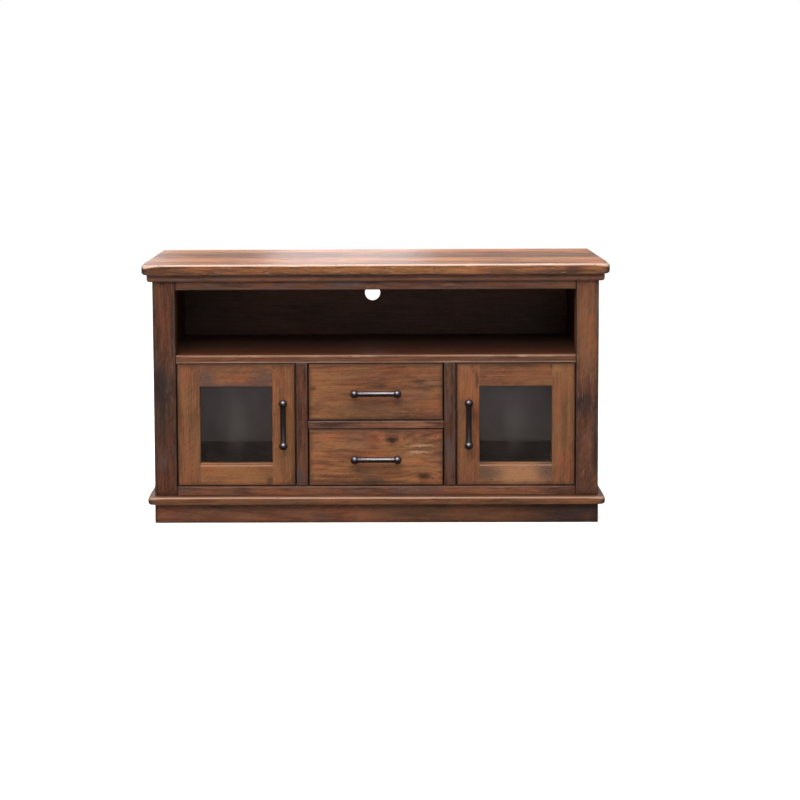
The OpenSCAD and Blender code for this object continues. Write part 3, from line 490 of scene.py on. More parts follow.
def stained_pine(name, grain, light, dark, grey, seed, pith=(0.07, 0.0), ring=7.0, patches=0.5,
                 streaks=1.0, scraped=0.3, joined=0.3, planks=None, marks=(), gloss=0.4, rim=None,
                 grime=0.6, seam=0.9, bare=0.2, pale=0.16, sill=None):
    """Plain-sawn pine under a walnut stain and a satin lacquer.

    Its growth rings are shells round a pith line that leans a little through the board, so the
    faces show long arches, and the stain sits darker in the soft wood between them. Streaks
    along the grain, grey patches, single marks, a darker tone near the arrises and worn arrises,
    lightened further as painted highlights, give it its rustic look. Each layer of colour covers
    those before it by its share.

    The pith is a place into and across the board, a ring's width is in millimetres, and planks are
    the coordinate that counts them, their width and an offset. A mark is a tone, a place, a reach
    along X, Y and Z, and a strength. Patches, streaks, scraped, joined, grime, seam and bare
    are the strengths of their patterns, bare covering worn wood and painted highlights. Gloss is the
    roughness, and pale lifts the tone of the bared wood and of its painted highlights."""
    rng = np.random.default_rng(seed)
    finish, node = blank_finish(name)
    space = node("TexCoord", out=None)
    place = space["Object"]
    parts = node("SeparateXYZ", place, out=None)
    along, deep, across = (parts[i] for i in GRAIN[grain])
    jump = plank_jump(node, planks, {"deep": deep, "across": across}) if planks else 0.0
    # Each plank comes from another part of the log, up to 17 m along it and 3 m into it.
    sawn = node("CombineXYZ", node("Math", jump, 17.0, along, operation="MULTIPLY_ADD"),
                node("Math", jump, 3.0, deep, operation="MULTIPLY_ADD"), across)
    sawn = node("VectorMath", sawn, rng.uniform(3, 30, 3).tolist(), operation="ADD")
    look = board_patterns(node, sawn)
    from_pith = pith_distance(node, look, along, deep, across, jump, pith)

    # Wiped patches and the single marks, whose outlines a noise bends.
    warp = node("TexNoise", {"Vector": place, "Scale": 60.0, "Detail": 2.0}, out=1)
    warped = node("VectorMath", warp, [MARK_WARP] * 3, place, operation="MULTIPLY_ADD")
    blotch = node("MapRange", look["blotch"], 0.48, 0.66, 0.0, patches)
    layers = [(blotch, grey)]
    for tone, at, reach, strength in marks:
        spread = mark_spread(node, warped, at, reach)
        if tone == "knot":
            # The rings swell by 30 mm round a knot.
            bulge = node("Math", node("Math", spread, -0.5, operation="MULTIPLY"), operation="EXPONENT")
            from_pith = node("Math", bulge, 30 * MM, from_pith, operation="MULTIPLY_ADD")
        spread = node("Math", look["fibre"], 0.9, spread, operation="MULTIPLY_ADD")
        layers.append((node("MapRange", spread, 0.8, 1.55, strength, 0.0), MARKS[tone]))

    phase = node("Math", look["wave"], 12 * MM, from_pith, operation="MULTIPLY_ADD")
    phase = node("Math", node("Math", phase, 1 / (ring * MM), operation="MULTIPLY"), operation="FRACT")
    look["late"] = node("ValToRGB", phase, ramp=[(0.0, 0.2), (0.45, 0.35), (0.82, 1.0), (0.97, 0.2)])
    gains = {"late": 0.24 * min(streaks, 1.0), "streak": 0.75 * streaks, "cloud": 0.6 + 0.4 * streaks,
             "fibre": 0.8 * streaks, "skew": scraped}
    if planks:
        look["jump"], gains["jump"] = jump, joined
    light, dark = np.array(light[:3]), np.array(dark[:3])
    shade = stained_tone(node, look, gains, light, dark)

    deepest = [*(0.45 * dark), 1]
    near = arris_distance(node, place, rim) if rim else None
    if rim:
        # The wood is darker up to 30 mm from an arris.
        far = node("Math", look["ragged"], 30 * MM, operation="MULTIPLY")
        layers.append((node("MapRange", near, 0.0, far, grime, 0.0), deepest))
    bare_and_highlight = bare_and_highlight_share(node, look, parts[2], near, bare, sill)
    nick = node("MapRange", look["nick"], 0.68, 0.74, 0.0, 0.7)
    # Bared wood comes out paler, and so do the painted highlights on the arrises and the sill.
    layers += [(bare_and_highlight, [*np.minimum(1.2 * light + pale, 1), 1]), (nick, deepest)]
    if rim:
        # Wax and dust sit black in the joints.
        layers.append((node("MapRange", near, 0.9 * MM, 3.0 * MM, seam, 0.0), MARKS["crack"]))
    # End grain drinks the stain and comes out darker.
    end = node("Math", node("SeparateXYZ", space["Normal"], out=GRAIN[grain][0]), operation="ABSOLUTE")
    layers.append((node("MapRange", end, 0.6, 0.9, 0.0, 0.75), [*(0.8 * dark), 1]))
    for share, tone in layers:
        shade = node("Mix", {0: share, 6: shade, 7: tone}, data_type="RGBA", out=2)

    rough = node("MapRange", look["fibre"], 0.25, 0.75, gloss - 0.05, gloss + 0.09)
    height = node("Math", look["late"], 0.5, look["fibre"], operation="MULTIPLY_ADD")
    height = node("Math", nick, -1.0, height, operation="MULTIPLY_ADD")
    bump = node("Bump", {"Height": height, "Strength": 0.35, "Distance": 0.4 * MM})
    surface = node("BsdfPrincipled", {"Base Color": shade, "Roughness": rough, "IOR": 1.5, "Normal": bump})
    node("OutputMaterial", surface, out=None)
    return finish


def antique_iron(name, colour, gloss, seed):
    """Cast and turned iron with an antique black finish: dark, polished where hands rub it, with a
    fine mottle from the casting that breaks up its highlights."""
    finish, node = blank_finish(name)
    place = node("VectorMath", node("TexCoord", out="Object"), (seed * 1.7, 0, 0), operation="ADD")
    # The mottle is 12 mm across and the sand grain 0.8 mm.
    mottle = node("TexNoise", {"Vector": place, "Scale": 80.0, "Detail": 1.0})
    grit = node("TexNoise", {"Vector": place, "Scale": 1250.0, "Detail": 2.0})
    shade = node("ValToRGB", mottle, ramp=[(0.3, [c * 0.85 for c in colour[:3]] + [1]), (0.7, colour)])
    rough = node("MapRange", mottle, 0.3, 0.7, gloss - 0.02, gloss + 0.02)
    bump = node("Bump", {"Height": grit, "Strength": 0.03, "Distance": 0.02 * MM})
    surface = node("BsdfPrincipled", {"Base Color": shade, "Metallic": 1.0, "Roughness": rough,
                                      "Normal": bump})
    node("OutputMaterial", surface, out=None)
    return finish


def zinc_steel(name):
    """Bright zinc-plated steel, drawn in one direction: light grey with fine streaks."""
    finish, node = blank_finish(name)
    # Drawing lines are 0.4 mm apart and 5 mm long.
    place = node("TexCoord", out="Object")
    drawn = node("VectorMath", place, (200.0, 2500.0, 2500.0), operation="MULTIPLY")
    lines = node("TexNoise", {"Vector": drawn, "Scale": 1.0, "Detail": 2.0})
    shade = node("ValToRGB", lines, ramp=[(0.3, linear("8f9092")), (0.7, linear("b4b4b0"))])
    rough = node("MapRange", lines, 0.3, 0.7, 0.22, 0.4)
    bump = node("Bump", {"Height": lines, "Strength": 0.15, "Distance": 0.05 * MM})
    surface = node("BsdfPrincipled", {"Base Color": shade, "Metallic": 1.0, "Roughness": rough,
                                      "Normal": bump})
    node("OutputMaterial", surface, out=None)
    return finish


def moulded_plastic(name):
    """Moulded ABS, dark brown, with the dull spark texture of its mould."""
    finish, node = blank_finish(name)
    # The spark texture's grains are 0.7 mm across.
    spark = node("TexNoise", {"Vector": node("TexCoord", out="Object"), "Scale": 1400.0, "Detail": 3.0})
    shade = node("ValToRGB", spark, ramp=[(0.3, linear("241a15")), (0.7, linear("33261f"))])
    rough = node("MapRange", spark, 0.3, 0.7, 0.5, 0.65)
    bump = node("Bump", {"Height": spark, "Strength": 0.3, "Distance": 0.08 * MM})
    surface = node("BsdfPrincipled", {"Base Color": shade, "Roughness": rough, "IOR": 1.53,
                                      "Normal": bump})
    node("OutputMaterial", surface, out=None)
    return finish


def float_glass(name, lit_patch_at, haze):
    """Clear float glass with a thin film of dust, which lights up grey, and a thicker film in the
    middle of each pane, a painted light patch for the light on the back of the cupboard behind it;
    there the reflection is duller."""
    finish, node = blank_finish(name)
    place = node("TexCoord", out="Object")
    # Wiping marks are 25 mm wide and run upright.
    drawn = node("VectorMath", place, (40.0, 40.0, 12.0), operation="MULTIPLY")
    film = node("TexNoise", {"Vector": drawn, "Scale": 1.0, "Detail": 3.0, "Distortion": 0.6})
    # The painted light patch fades out 40 mm to each side of its middle, and 115 mm above and below it.
    side = node("VectorMath", place, operation="ABSOLUTE")
    side = node("VectorMath", side, lit_patch_at, operation="SUBTRACT")
    side = node("VectorMath", side, (40.0, 0.0, 14.0), operation="MULTIPLY")
    lit_patch = node("MapRange", node("VectorMath", side, operation="LENGTH", out=1), 0.2, 1.6, 0.9, 0.0)
    film = node("Math", lit_patch, 0.8, film, operation="MULTIPLY_ADD")
    film = node("Math", film, haze, operation="MULTIPLY")
    clear = node("Math", 1.0, film, operation="SUBTRACT")
    rough = node("MapRange", film, 0.3 * haze, haze, 0.02, 0.14)
    surface = node("BsdfPrincipled", {"Base Color": linear("e6e2df"), "Roughness": rough, "IOR": 1.52,
                                      "Transmission Weight": clear})
    node("OutputMaterial", surface, out=None)
    return finish


# Settings that a user would change


def tone_setting(name, description, colour):
    """A colour that a user would change, from its hex value."""
    return bpy.props.FloatVectorProperty(name=name, description=description, subtype="COLOR", size=3,
                                         min=0, max=1, default=linear(colour)[:3])


def power_setting(name, description, default):
    """A lamp's power that a user would change."""
    return bpy.props.FloatProperty(name=name, description=description, unit="POWER", min=0, max=1000,
                                   default=default)


class TvUnitTimber(bpy.types.PropertyGroup):
    front_light: tone_setting("Front, light", "Light tone of the doors and drawer fronts", "976543")
    front_dark: tone_setting("Front, dark", "Dark tone of the doors and drawer fronts", "523122")
    frame_light: tone_setting("Frame, light", "Light tone of the posts, rails and stiles", "6c4532")
    frame_dark: tone_setting("Frame, dark", "Dark tone of the posts, rails and stiles", "2f1c15")
    grey: tone_setting("Grey patches", "Tone of the thinly stained patches", "5a4a4a")
    inner: tone_setting("Inside", "Tone of the stained boards inside the carcass", "452b22")
    bare: tone_setting("Drawer boxes", "Tone of the clear-lacquered drawer sides", "b98f62")
    ease: bpy.props.FloatProperty(
        name="Arris radius", description="Radius of the eased edges of the boards",
        subtype="DISTANCE", unit="LENGTH", default=2.2 * MM, min=0.5 * MM, max=4 * MM)
    wear: bpy.props.FloatProperty(
        name="Wear", description="How unevenly the arrises are worn", default=0.9, min=0, max=2)


class TvUnitIron(bpy.types.PropertyGroup):
    tone: tone_setting("Iron", "Tone of the antique black iron", "7f7b83")
    gloss: bpy.props.FloatProperty(
        name="Roughness", description="Roughness of the iron where it is rubbed",
        subtype="FACTOR", default=0.38, min=0.1, max=0.8)


class TvUnitGlass(bpy.types.PropertyGroup):
    haze: bpy.props.FloatProperty(
        name="Dust", description="Share of the light that the panes' film of dust scatters",
        subtype="FACTOR", default=0.031, min=0, max=0.5)


class TvUnitStage(bpy.types.PropertyGroup):
    room: bpy.props.FloatProperty(
        name="Room light", description="Brightness of the pale room above the horizon",
        default=0.5, min=0, max=2)
    key: power_setting("Key light", "Power of the soft light at the front", 130.0)
    fill: power_setting("Fill light", "Power of the wide light straight in front", 12.0)
    overhead: power_setting("Overhead light", "Power of the soft light over the top board", 46.0)
    floor: bpy.props.FloatProperty(
        name="Floor", description="Glow of the pale floor, over its light from the lamps",
        default=0.8, min=0, max=2)
    bounce: bpy.props.FloatProperty(
        name="Floor bounce", description="Share of its light that the floor throws up at the unit",
        subtype="FACTOR", default=0.6, min=0, max=1)
    cupboard: power_setting("Cupboard light", "Power of the light that comes in through each pane", 0.42)
    window: power_setting("Windows", "Power of each of the two windows behind the unit", 4.5)


# Pieces


def pine(context, name, kind, grain, seed, **details):
    """A stained pine finish in one of the unit's tones."""
    timber = context.scene.tv_unit_timber
    tones = {
        "front": (timber.front_light, timber.front_dark),
        "frame": (timber.frame_light, timber.frame_dark),
        "inner": (timber.inner, [0.45 * c for c in timber.inner]),
        "bare": (timber.bare, [0.6 * c for c in timber.bare]),
    }
    lift = details.pop("lift", 1.0)
    light, dark = ([c * lift for c in tone] for tone in tones[kind])
    return stained_pine(f"stained_pine_{name}", grain, light, dark, tint(timber.grey), seed, **details)


def carcass_piece(node, shells, finish):
    """Worn boards that stand for one CAD node of the cabinet."""
    piece(f"{node}_worn", shells, "cabinet", finish, [node])


def frame_board(context, node, along, seeds, run=None, **look):
    """One worn board of the frame. A run along its axis leaves out the tenons, which don't show."""
    timber = context.scene.tv_unit_timber
    lo, hi = corners(node)
    if run:
        lo[along], hi[along] = run
    finish = pine(context, node, "frame", "xyz"[along], seeds[0], rim=rim_of(lo, hi), **look)
    carcass_piece(node, [board(lo, hi, along, seeds[1], timber.ease, timber.wear)], finish)


def mitred_trim(part, outline, radii, half, face, out, seeds, wear, finishes):
    """Trim along the front and both sides, mitred at the front corners. The outline's first
    coordinate runs out from the faces if out is 1, and in if it is -1."""
    back = corners(f"{part}_returns")[1][1]
    front = carried_outline(outline, radii, -half, half, face * Y, [-out * Y, Z, X], seeds[0], wear,
                            mitres=(-out, out), ease_ends=False)
    returns = [carried_outline(outline, radii, face, back, side * half * X, [out * side * X, Z, Y],
                               seeds[1] + side, wear, mitres=(-out, 0), ease_ends=False)
               for side in (-1, 1)]
    carcass_piece(f"{part}_front", [front], finishes[0])
    carcass_piece(f"{part}_returns", returns, finishes[1])


class TVUNIT_OT_slabs(bpy.types.Operator):
    """Makes the moulded top board and base board"""

    bl_idname = "tv_unit.slabs"
    bl_label = "Top and base boards"

    def execute(self, context):
        wear = context.scene.tv_unit_timber.wear
        lo, hi = corners("top_board")
        front, level = lo[1], hi[2]
        marks = [("dark", (-0.244, front, 0.779), (0.022, 0.02, 0.006), 0.8),
                 ("dark", (-0.150, front, 0.766), (0.020, 0.02, 0.008), 0.7),
                 ("dark", (-0.27, -0.07, level), (0.05, 0.012, 0.01), 0.6),
                 ("grey", (0.26, 0.01, level), (0.05, 0.03, 0.01), 0.5),
                 ("dark", (0.41, -0.10, level), (0.04, 0.012, 0.01), 0.5)]
        # Painted shade: grey on the rounded front corners at both ends, which turn away from the light.
        marks += [("grey", (x, -0.20, 0.775), (0.024, 0.07, 0.03), 0.9) for x in (lo[0], hi[0])]
        marks += [("dark", (x, front, 0.77), (0.12, 0.02, 0.02), strength)
                  for x, strength in ((-0.62, 0.35), (0.62, 0.15))]
        marks += [("gold", (0, front, 0.774), (0.5, 0.012, 0.014), 0.5)]
        # The top is glued up from five planks.
        plank = 91.2 * MM
        # The top's front arris is lightened strongly, as wear and as a painted highlight.
        top = pine(context, "top", "front", "x", 3, pith=(0.0, 0.70), ring=8.0, patches=0.25, marks=marks,
                   streaks=2.7, planks=("deep", plank, lo[1]), joined=0.8, gloss=0.36, lift=0.95,
                   rim=rim_of(lo, hi), grime=0.3, bare=1.0, pale=0.3, seam=0.0)
        shell = slab(lo, hi, (5 * MM, 6 * MM), 24 * MM, seed=11, wear=0.3 * wear, knocked=1.0)
        carcass_piece("top_board", [shell], top)
        lo, hi = corners("base_board")
        # Painted shade: grey on the rounded front corners at both ends, which turn away from the light.
        marks = [("grey", (x, -0.20, 0.07), (0.022, 0.06, 0.03), 0.8) for x in (lo[0], hi[0])]
        base = pine(context, "base", "front", "x", 5, pith=(-0.15, 0.02), patches=0.35, lift=0.85,
                    marks=marks, rim=rim_of(lo, hi), grime=0.3, bare=0.9, seam=0.0)
        shell = slab(lo, hi, (4 * MM, 5.5 * MM), 16 * MM, seed=23, wear=0.3 * wear, knocked=0.6)
        carcass_piece("base_board", [shell], base)
        return {"FINISHED"}


class TVUNIT_OT_cornice(bpy.types.Operator):
    """Makes the cornice under the top board, mitred at its front corners"""

    bl_idname = "tv_unit.cornice"
    bl_label = "Cornice"

    def execute(self, context):
        lo, hi = corners("cornice_front")
        post_lo, post_hi = corners("front_post_right")
        half, face = post_hi[0], post_lo[1]
        out = face - lo[1]
        outline = [(0, lo[2]), (out, lo[2]), (out, hi[2]), (0, hi[2])]
        radii = [0.3 * MM, 8.6 * MM, 0.6 * MM, 0.3 * MM]
        finishes = (pine(context, "cornice", "frame", "x", 7, pith=(-0.2, 0.70), patches=0.7, lift=1.25),
                    pine(context, "cornice_returns", "frame", "y", 9, pith=(0.6, 0.72)))
        mitred_trim("cornice", outline, radii, half, face, 1, (31, 33),
                    0.15 * context.scene.tv_unit_timber.wear, finishes)
        return {"FINISHED"}


def side_frame(context, number, side, look):
    """One side of the unit: its posts, the rails between them and the panel in their grooves."""
    timber = context.scene.tv_unit_timber
    frame_board(context, f"front_post_{side}", 2, (41 + number, 51 + number), **look)
    frame_board(context, f"rear_post_{side}", 2, (61 + number, 71 + number), pith=(0.3, 0.6))
    post_back, rear_front = corners(f"front_post_{side}")[1][1], corners(f"rear_post_{side}")[0][1]
    panel = f"side_panel_{side}"
    panel_lo, panel_hi = corners(panel)
    groove = 8 * MM
    under, over = panel_lo[2] + groove, panel_hi[2] - groove
    rails = f"side_rails_{side}"
    lo, hi = corners(rails)
    lo[1], hi[1] = post_back, rear_front
    shells = [board(lo, np.array([*hi[:2], under]), 1, 81 + number, timber.ease, 0.5 * timber.wear),
              board(np.array([*lo[:2], over]), hi, 1, 85 + number, timber.ease, 0.5 * timber.wear)]
    carcass_piece(rails, shells, pine(context, rails, "frame", "y", 91 + number, pith=(0.5, 0.1),
                                      rim=rim_of(lo, hi, 2, hi[2] - over)))
    sight = np.array([panel_lo[0], post_back, under]), np.array([panel_hi[0], rear_front, over])
    inner = min(panel_lo[0], panel_hi[0], key=abs)
    shadow = [("dark", (inner, 0, 0.63), (0.009, THROUGH, 0.16), 0.3)]
    # Painted shade: the panel is stained darker, and the mark named shadow darkens its inner face, for the
    # shade on the niche's side wall.
    dress(panel, pine(context, panel, "frame", "z", 95 + number, pith=(0.02, 0.5), lift=0.75,
                      rim=rim_of(*sight), marks=shadow))


def shelf(context):
    """The fixed shelf: a front that ends at the posts and a wider back that ends at the side
    panels. It is red at the front and darker towards the back, as painted shade in the niche."""
    timber = context.scene.tv_unit_timber
    lo, hi = corners("fixed_shelf")
    post_lo, post_hi = corners("front_post_right")
    inner, wall = post_lo[0], corners("side_panel_right")[0][0]
    front = np.array([-inner, lo[1], lo[2]]), np.array([inner, post_hi[1], hi[2]])
    back = np.array([-wall, post_hi[1], lo[2]]), np.array([wall, hi[1], hi[2]])
    # Painted shade: the dark mark darkens the shelf towards the back of the niche.
    marks = [("russet", (0, -0.09, hi[2]), (THROUGH, 0.12, THROUGH), 0.95),
             ("dark", (0, 0.06, hi[2]), (THROUGH, 0.24, THROUGH), 0.8)]
    # Its ends and its back are hidden, so the rim that wears lies beyond them.
    finish = pine(context, "fixed_shelf", "front", "x", 125, pith=(-0.1, 0.45), lift=0.85, patches=0.3,
                  marks=marks, gloss=0.56, bare=0.8, seam=0.0, grime=0.3,
                  rim=rim_of(front[0] - 0.3 * X, back[1] + 0.3 * X + Y))
    hidden = 0.1 * MM
    shells = [board(*front, 0, 121, [timber.ease, hidden, hidden, timber.ease], timber.wear),
              board(*back, 0, 123, hidden, 0)]
    carcass_piece("fixed_shelf", shells, finish)


class TVUNIT_OT_frame_boards(bpy.types.Operator):
    """Makes the posts, rails, stiles and the fixed shelf that show from outside"""

    bl_idname = "tv_unit.frame_boards"
    bl_label = "Frame boards"

    def execute(self, context):
        posts = {
            "left": dict(lift=0.85, patches=0.5, streaks=1.2, scraped=0.55, pith=(-0.1, -0.60), ring=6.0,
                         marks=face_marks(("slate", -0.65, 0.42, 0.035, 0.08, 0.85),
                                          ("slate", -0.642, 0.30, 0.022, 0.10, 0.5),
                                          ("red", -0.63, 0.58, 0.02, 0.10, 0.25))),
            "right": dict(lift=1.35, patches=0.3, streaks=0.6, scraped=0.6, pith=(-0.1, 0.62), ring=8.0,
                          marks=face_marks(("gold", 0.635, 0.57, 0.06, 0.16, 0.25),
                                           ("slate", 0.625, 0.362, 0.05, 0.045, 0.75),
                                           ("slate", 0.66, 0.30, 0.025, 0.06, 0.4),
                                           ("dark", 0.662, 0.206, 0.016, 0.07, 0.6)))}
        for number, (side, look) in enumerate(posts.items()):
            side_frame(context, number, side, look)
        post_in, stile_in = corners("front_post_right")[0][0], corners("centre_stile_right")[0][0]
        dark_run = face_marks(("dark", -0.136, 0.303, 0.07, 0.012, 0.6))
        rails = {"top_rail": (post_in, 101, dict(patches=0.7, pith=(-0.1, 0.75), lift=1.2)),
                 "bottom_rail": (post_in, 103, dict(patches=0.6, pith=(-0.12, 0.11), lift=1.95)),
                 "mid_rail": (stile_in, 105, dict(pith=(-0.1, 0.3), lift=2.1, marks=dark_run))}
        for name, (shoulder, seed, look) in rails.items():
            frame_board(context, name, 0, (seed, seed), (-shoulder, shoulder), grime=0.4, seam=0.5, **look)
        run = corners("bottom_rail")[1][2], corners("fixed_shelf")[0][2]
        for number, side in enumerate(("left", "right")):
            frame_board(context, f"centre_stile_{side}", 2, (111 + number, 115 + number), run,
                        pith=(-0.1, 0.25 * (2 * number - 1)), grime=0.4, patches=0.8, streaks=1.5,
                        scraped=0.7, lift=0.97)
        shelf(context)
        return {"FINISHED"}


class TVUNIT_OT_plinth(bpy.types.Operator):
    """Makes the plinth's front and returns, mitred at the front corners"""

    bl_idname = "tv_unit.plinth"
    bl_label = "Plinth"

    def execute(self, context):
        lo, hi = corners("plinth_front")
        thick, half, face = hi[1] - lo[1], hi[0], lo[1]
        outline = [(0, lo[2]), (thick, lo[2]), (thick, hi[2]), (0, hi[2])]
        radii = [1.5 * MM, 0.4 * MM, 0.4 * MM, 0.4 * MM]
        marks = [("olive", (0.25, face, 0.03), (0.3, THROUGH, THROUGH), 0.4),
                 ("slate", (0.61, face, 0.03), (0.2, THROUGH, 0.12), 0.8),
                 ("red", (0.631, face, 0.018), (0.018, THROUGH, 0.014), 0.22)]
        finishes = (pine(context, "plinth", "frame", "x", 133, pith=(-0.15, 0.03), lift=1.8, patches=0.3,
                         streaks=0.6, marks=marks, rim=rim_of(lo, hi)),
                    pine(context, "plinth_returns", "frame", "y", 139, pith=(0.5, 0.03)))
        mitred_trim("plinth", outline, radii, half, face, -1, (131, 137),
                    0.5 * context.scene.tv_unit_timber.wear, finishes)
        return {"FINISHED"}


class TVUNIT_OT_fronts(bpy.types.Operator):
    """Finishes the doors and the drawer fronts"""

    bl_idname = "tv_unit.fronts"
    bl_label = "Doors and drawer fronts"

    def execute(self, context):
        upper = face_marks(("dark", 0.130, 0.431, 0.03, 0.006, 0.6),
                           ("dark", 0.015, 0.417, 0.03, 0.006, 0.5),
                           ("dark", -0.189, 0.411, 0.014, 0.008, 0.6),
                           ("dark", 0.106, 0.321, 0.06, 0.007, 0.5))
        lower = face_marks(("red", -0.009, 0.251, 0.03, 0.024, 0.5),
                           ("knot", 0.048, 0.254, 0.026, 0.014, 0.9),
                           ("pale", 0.133, 0.236, 0.05, 0.0045, 0.9),
                           ("pale", 0.127, 0.216, 0.045, 0.0045, 0.9),
                           ("knot", 0.144, 0.143, 0.026, 0.013, 0.75),
                           ("slate", -0.02, 0.125, 0.10, 0.012, 0.5))
        left_rails = face_marks(("gold", -0.42, 0.148, 0.13, 0.045, 0.35),
                                ("grey", -0.516, 0.437, 0.045, 0.045, 0.65),
                                ("grey", -0.33, 0.44, 0.06, 0.036, 0.6),
                                ("grey", -0.426, 0.421, 0.14, 0.012, 0.6),
                                ("olive", -0.319, 0.128, 0.016, 0.016, 0.7))
        right_rails = face_marks(("gold", 0.43, 0.148, 0.13, 0.045, 0.5),
                                 ("pale", 0.44, 0.148, 0.13, 0.045, 0.5),
                                 ("grey", 0.336, 0.150, 0.06, 0.026, 0.6),
                                 ("grey", 0.518, 0.158, 0.045, 0.04, 0.6),
                                 ("knot", 0.529, 0.478, 0.010, 0.007, 0.6))
        left_stiles = face_marks(("gold", -0.278, 0.28, 0.05, 0.17, 0.3))
        right_stiles = face_marks(("olive", 0.568, 0.31, 0.012, 0.13, 0.5),
                                  ("dark", 0.304, 0.437, 0.008, 0.035, 0.5))
        door = dict(patches=0.15, streaks=0.6)
        # The rails get a painted highlight along the sill under the glass.
        rails = door | dict(pith=(-0.1, 0.3), sill=corners("door_left_beads")[0][2])
        looks = {
            "drawer_upper_front": ("x", 151, dict(pith=(-0.05, 0.36), ring=8.0, patches=0.25, lift=0.93,
                                                  streaks=0.8, marks=upper)),
            "drawer_lower_front": ("x", 153, dict(pith=(-0.08, 0.22), ring=8.0, patches=0.3, lift=1.1,
                                                  scraped=0.35, marks=lower)),
            "door_left_stiles": ("z", 155, door | dict(pith=(-0.1, -0.42), marks=left_stiles)),
            "door_right_stiles": ("z", 157, door | dict(pith=(-0.1, 0.42), marks=right_stiles)),
            "door_left_rails": ("x", 159, rails | dict(streaks=0.5, lift=1.1, marks=left_rails)),
            "door_right_rails": ("x", 161, rails | dict(lift=0.9, marks=right_rails))}
        for node, (grain, seed, look) in looks.items():
            # A door's rails and stiles share one rim, that of the whole door.
            rim = rim_of(*corners(node.replace("rails", "stiles")))
            dress(node, pine(context, node, "front", grain, seed, rim=rim, bare=0.15, seam=0.85, **look))
        for side in ("left", "right"):
            node = f"door_{side}_beads"
            dress(node, pine(context, node, "front", "z", 163, pith=(-0.1, 0.4), lift=0.8))
        return {"FINISHED"}


class TVUNIT_OT_glass(bpy.types.Operator):
    """Finishes the two panes"""

    bl_idname = "tv_unit.glass"
    bl_label = "Glass"

    def execute(self, context):
        lo, hi = corners("door_right_glass")
        middle = (lo + hi) / 2
        glass = float_glass("dusty_float_glass", middle.tolist(), context.scene.tv_unit_glass.haze)
        for side in ("left", "right"):
            dress(f"door_{side}_glass", glass)
        return {"FINISHED"}


class TVUNIT_OT_inside(bpy.types.Operator):
    """Finishes the boards inside the carcass and the drawer boxes"""

    bl_idname = "tv_unit.inside"
    bl_label = "Inner boards"

    def execute(self, context):
        back = corners("back_panel_lower")[0][1]
        dusty = [("ash", (0, back, 0.3), (THROUGH, 6.5 * MM, THROUGH), 1.0)]
        shadows = [("dark", (0.64, 0.21, 0.52), (0.35, THROUGH, 0.12), 0.6),
                   ("dark", (-0.68, 0.21, 0.64), (0.26, THROUGH, 0.3), 0.6)]
        stained = {
            "floor_panel": ("x", dict(planks=("deep", 0.13, 0.0), lift=0.7)), "panel_bearers": ("y", {}),
            "partition_left": ("y", {}), "partition_right": ("y", {}),
            "back_panel_upper": ("x", dict(planks=("across", 0.11, 0.5), lift=2.2, marks=shadows)),
            "back_panel_lower": ("x", dict(planks=("across", 0.11, 0.0), lift=2.2, marks=dusty)),
            "rear_top_rail": ("x", {}), "rear_bottom_rail": ("x", {}), "top_bearers": ("y", {}),
            "plinth_back": ("x", {}), "plinth_blocks": ("z", {}), "drawer_runners": ("y", {}),
            # Painted shade: the back battens are stained very dark for the shadow of the door's bottom
            # rail on the back of each cupboard.
            "drawer_guides": ("y", {}), "drawer_stops": ("y", {}), "back_battens": ("x", dict(lift=0.35))}
        for number, (node, (grain, look)) in enumerate(stained.items()):
            dress(node, pine(context, node, "inner", grain, 201 + number, pith=(0.3, 0.4), gloss=0.5,
                             patches=0.2, **look))
        for number, level in enumerate(("upper", "lower")):
            for part, grain in (("sides", "y"), ("back", "x"), ("bottom", "x")):
                node = f"drawer_{level}_{part}"
                dress(node, pine(context, node, "bare", grain, 231 + number, pith=(0.3, 0.3),
                                 patches=0.0, streaks=0.5, gloss=0.45))
        return {"FINISHED"}


BALL_R = 13 * MM


def bar_pull(middle, axis, standoff, half):
    """A bar pull: a turned grip with a ball at each end, on two turned feet.
    The ball's outline is a circle, and a fillet of a quarter wave joins it to the bar."""
    bar_r, neck_r, neck_l, foot_r = 8.5 * MM, 0.6 * MM, 3 * MM, 7 * MM
    grip = middle - standoff * Y
    t = np.linspace(0, np.pi, 25)
    meet = math.sqrt(BALL_R**2 - (bar_r + neck_r) ** 2)
    ball = np.stack([-half - BALL_R * np.cos(t), BALL_R * np.sin(t)], 1)
    ball[[0, -1], 1] = 0.0
    ball = ball[ball[:, 0] < -half + meet]
    neck = np.linspace(0, 1, 6)
    fillet = np.stack([-half + meet + neck * neck_l, bar_r + neck_r * np.cos(neck * np.pi / 2)], 1)
    left = np.concatenate([ball, fillet])
    outline = np.concatenate([left, left[::-1] * [-1, 1]])
    shank_r = foot_r - 0.6 * MM
    foot = [(0, 0), (0, foot_r), (1.0 * MM, foot_r), (3 * MM, foot_r - 0.4 * MM),
            (standoff - BALL_R, shank_r), (standoff - 0.5 * BALL_R, shank_r), (standoff - 0.5 * BALL_R, 0)]
    shells = [turned(outline, grip, axis)]
    shells += [turned(foot, middle + end * half * axis, -Y, 32) for end in (-1, 1)]
    return shells


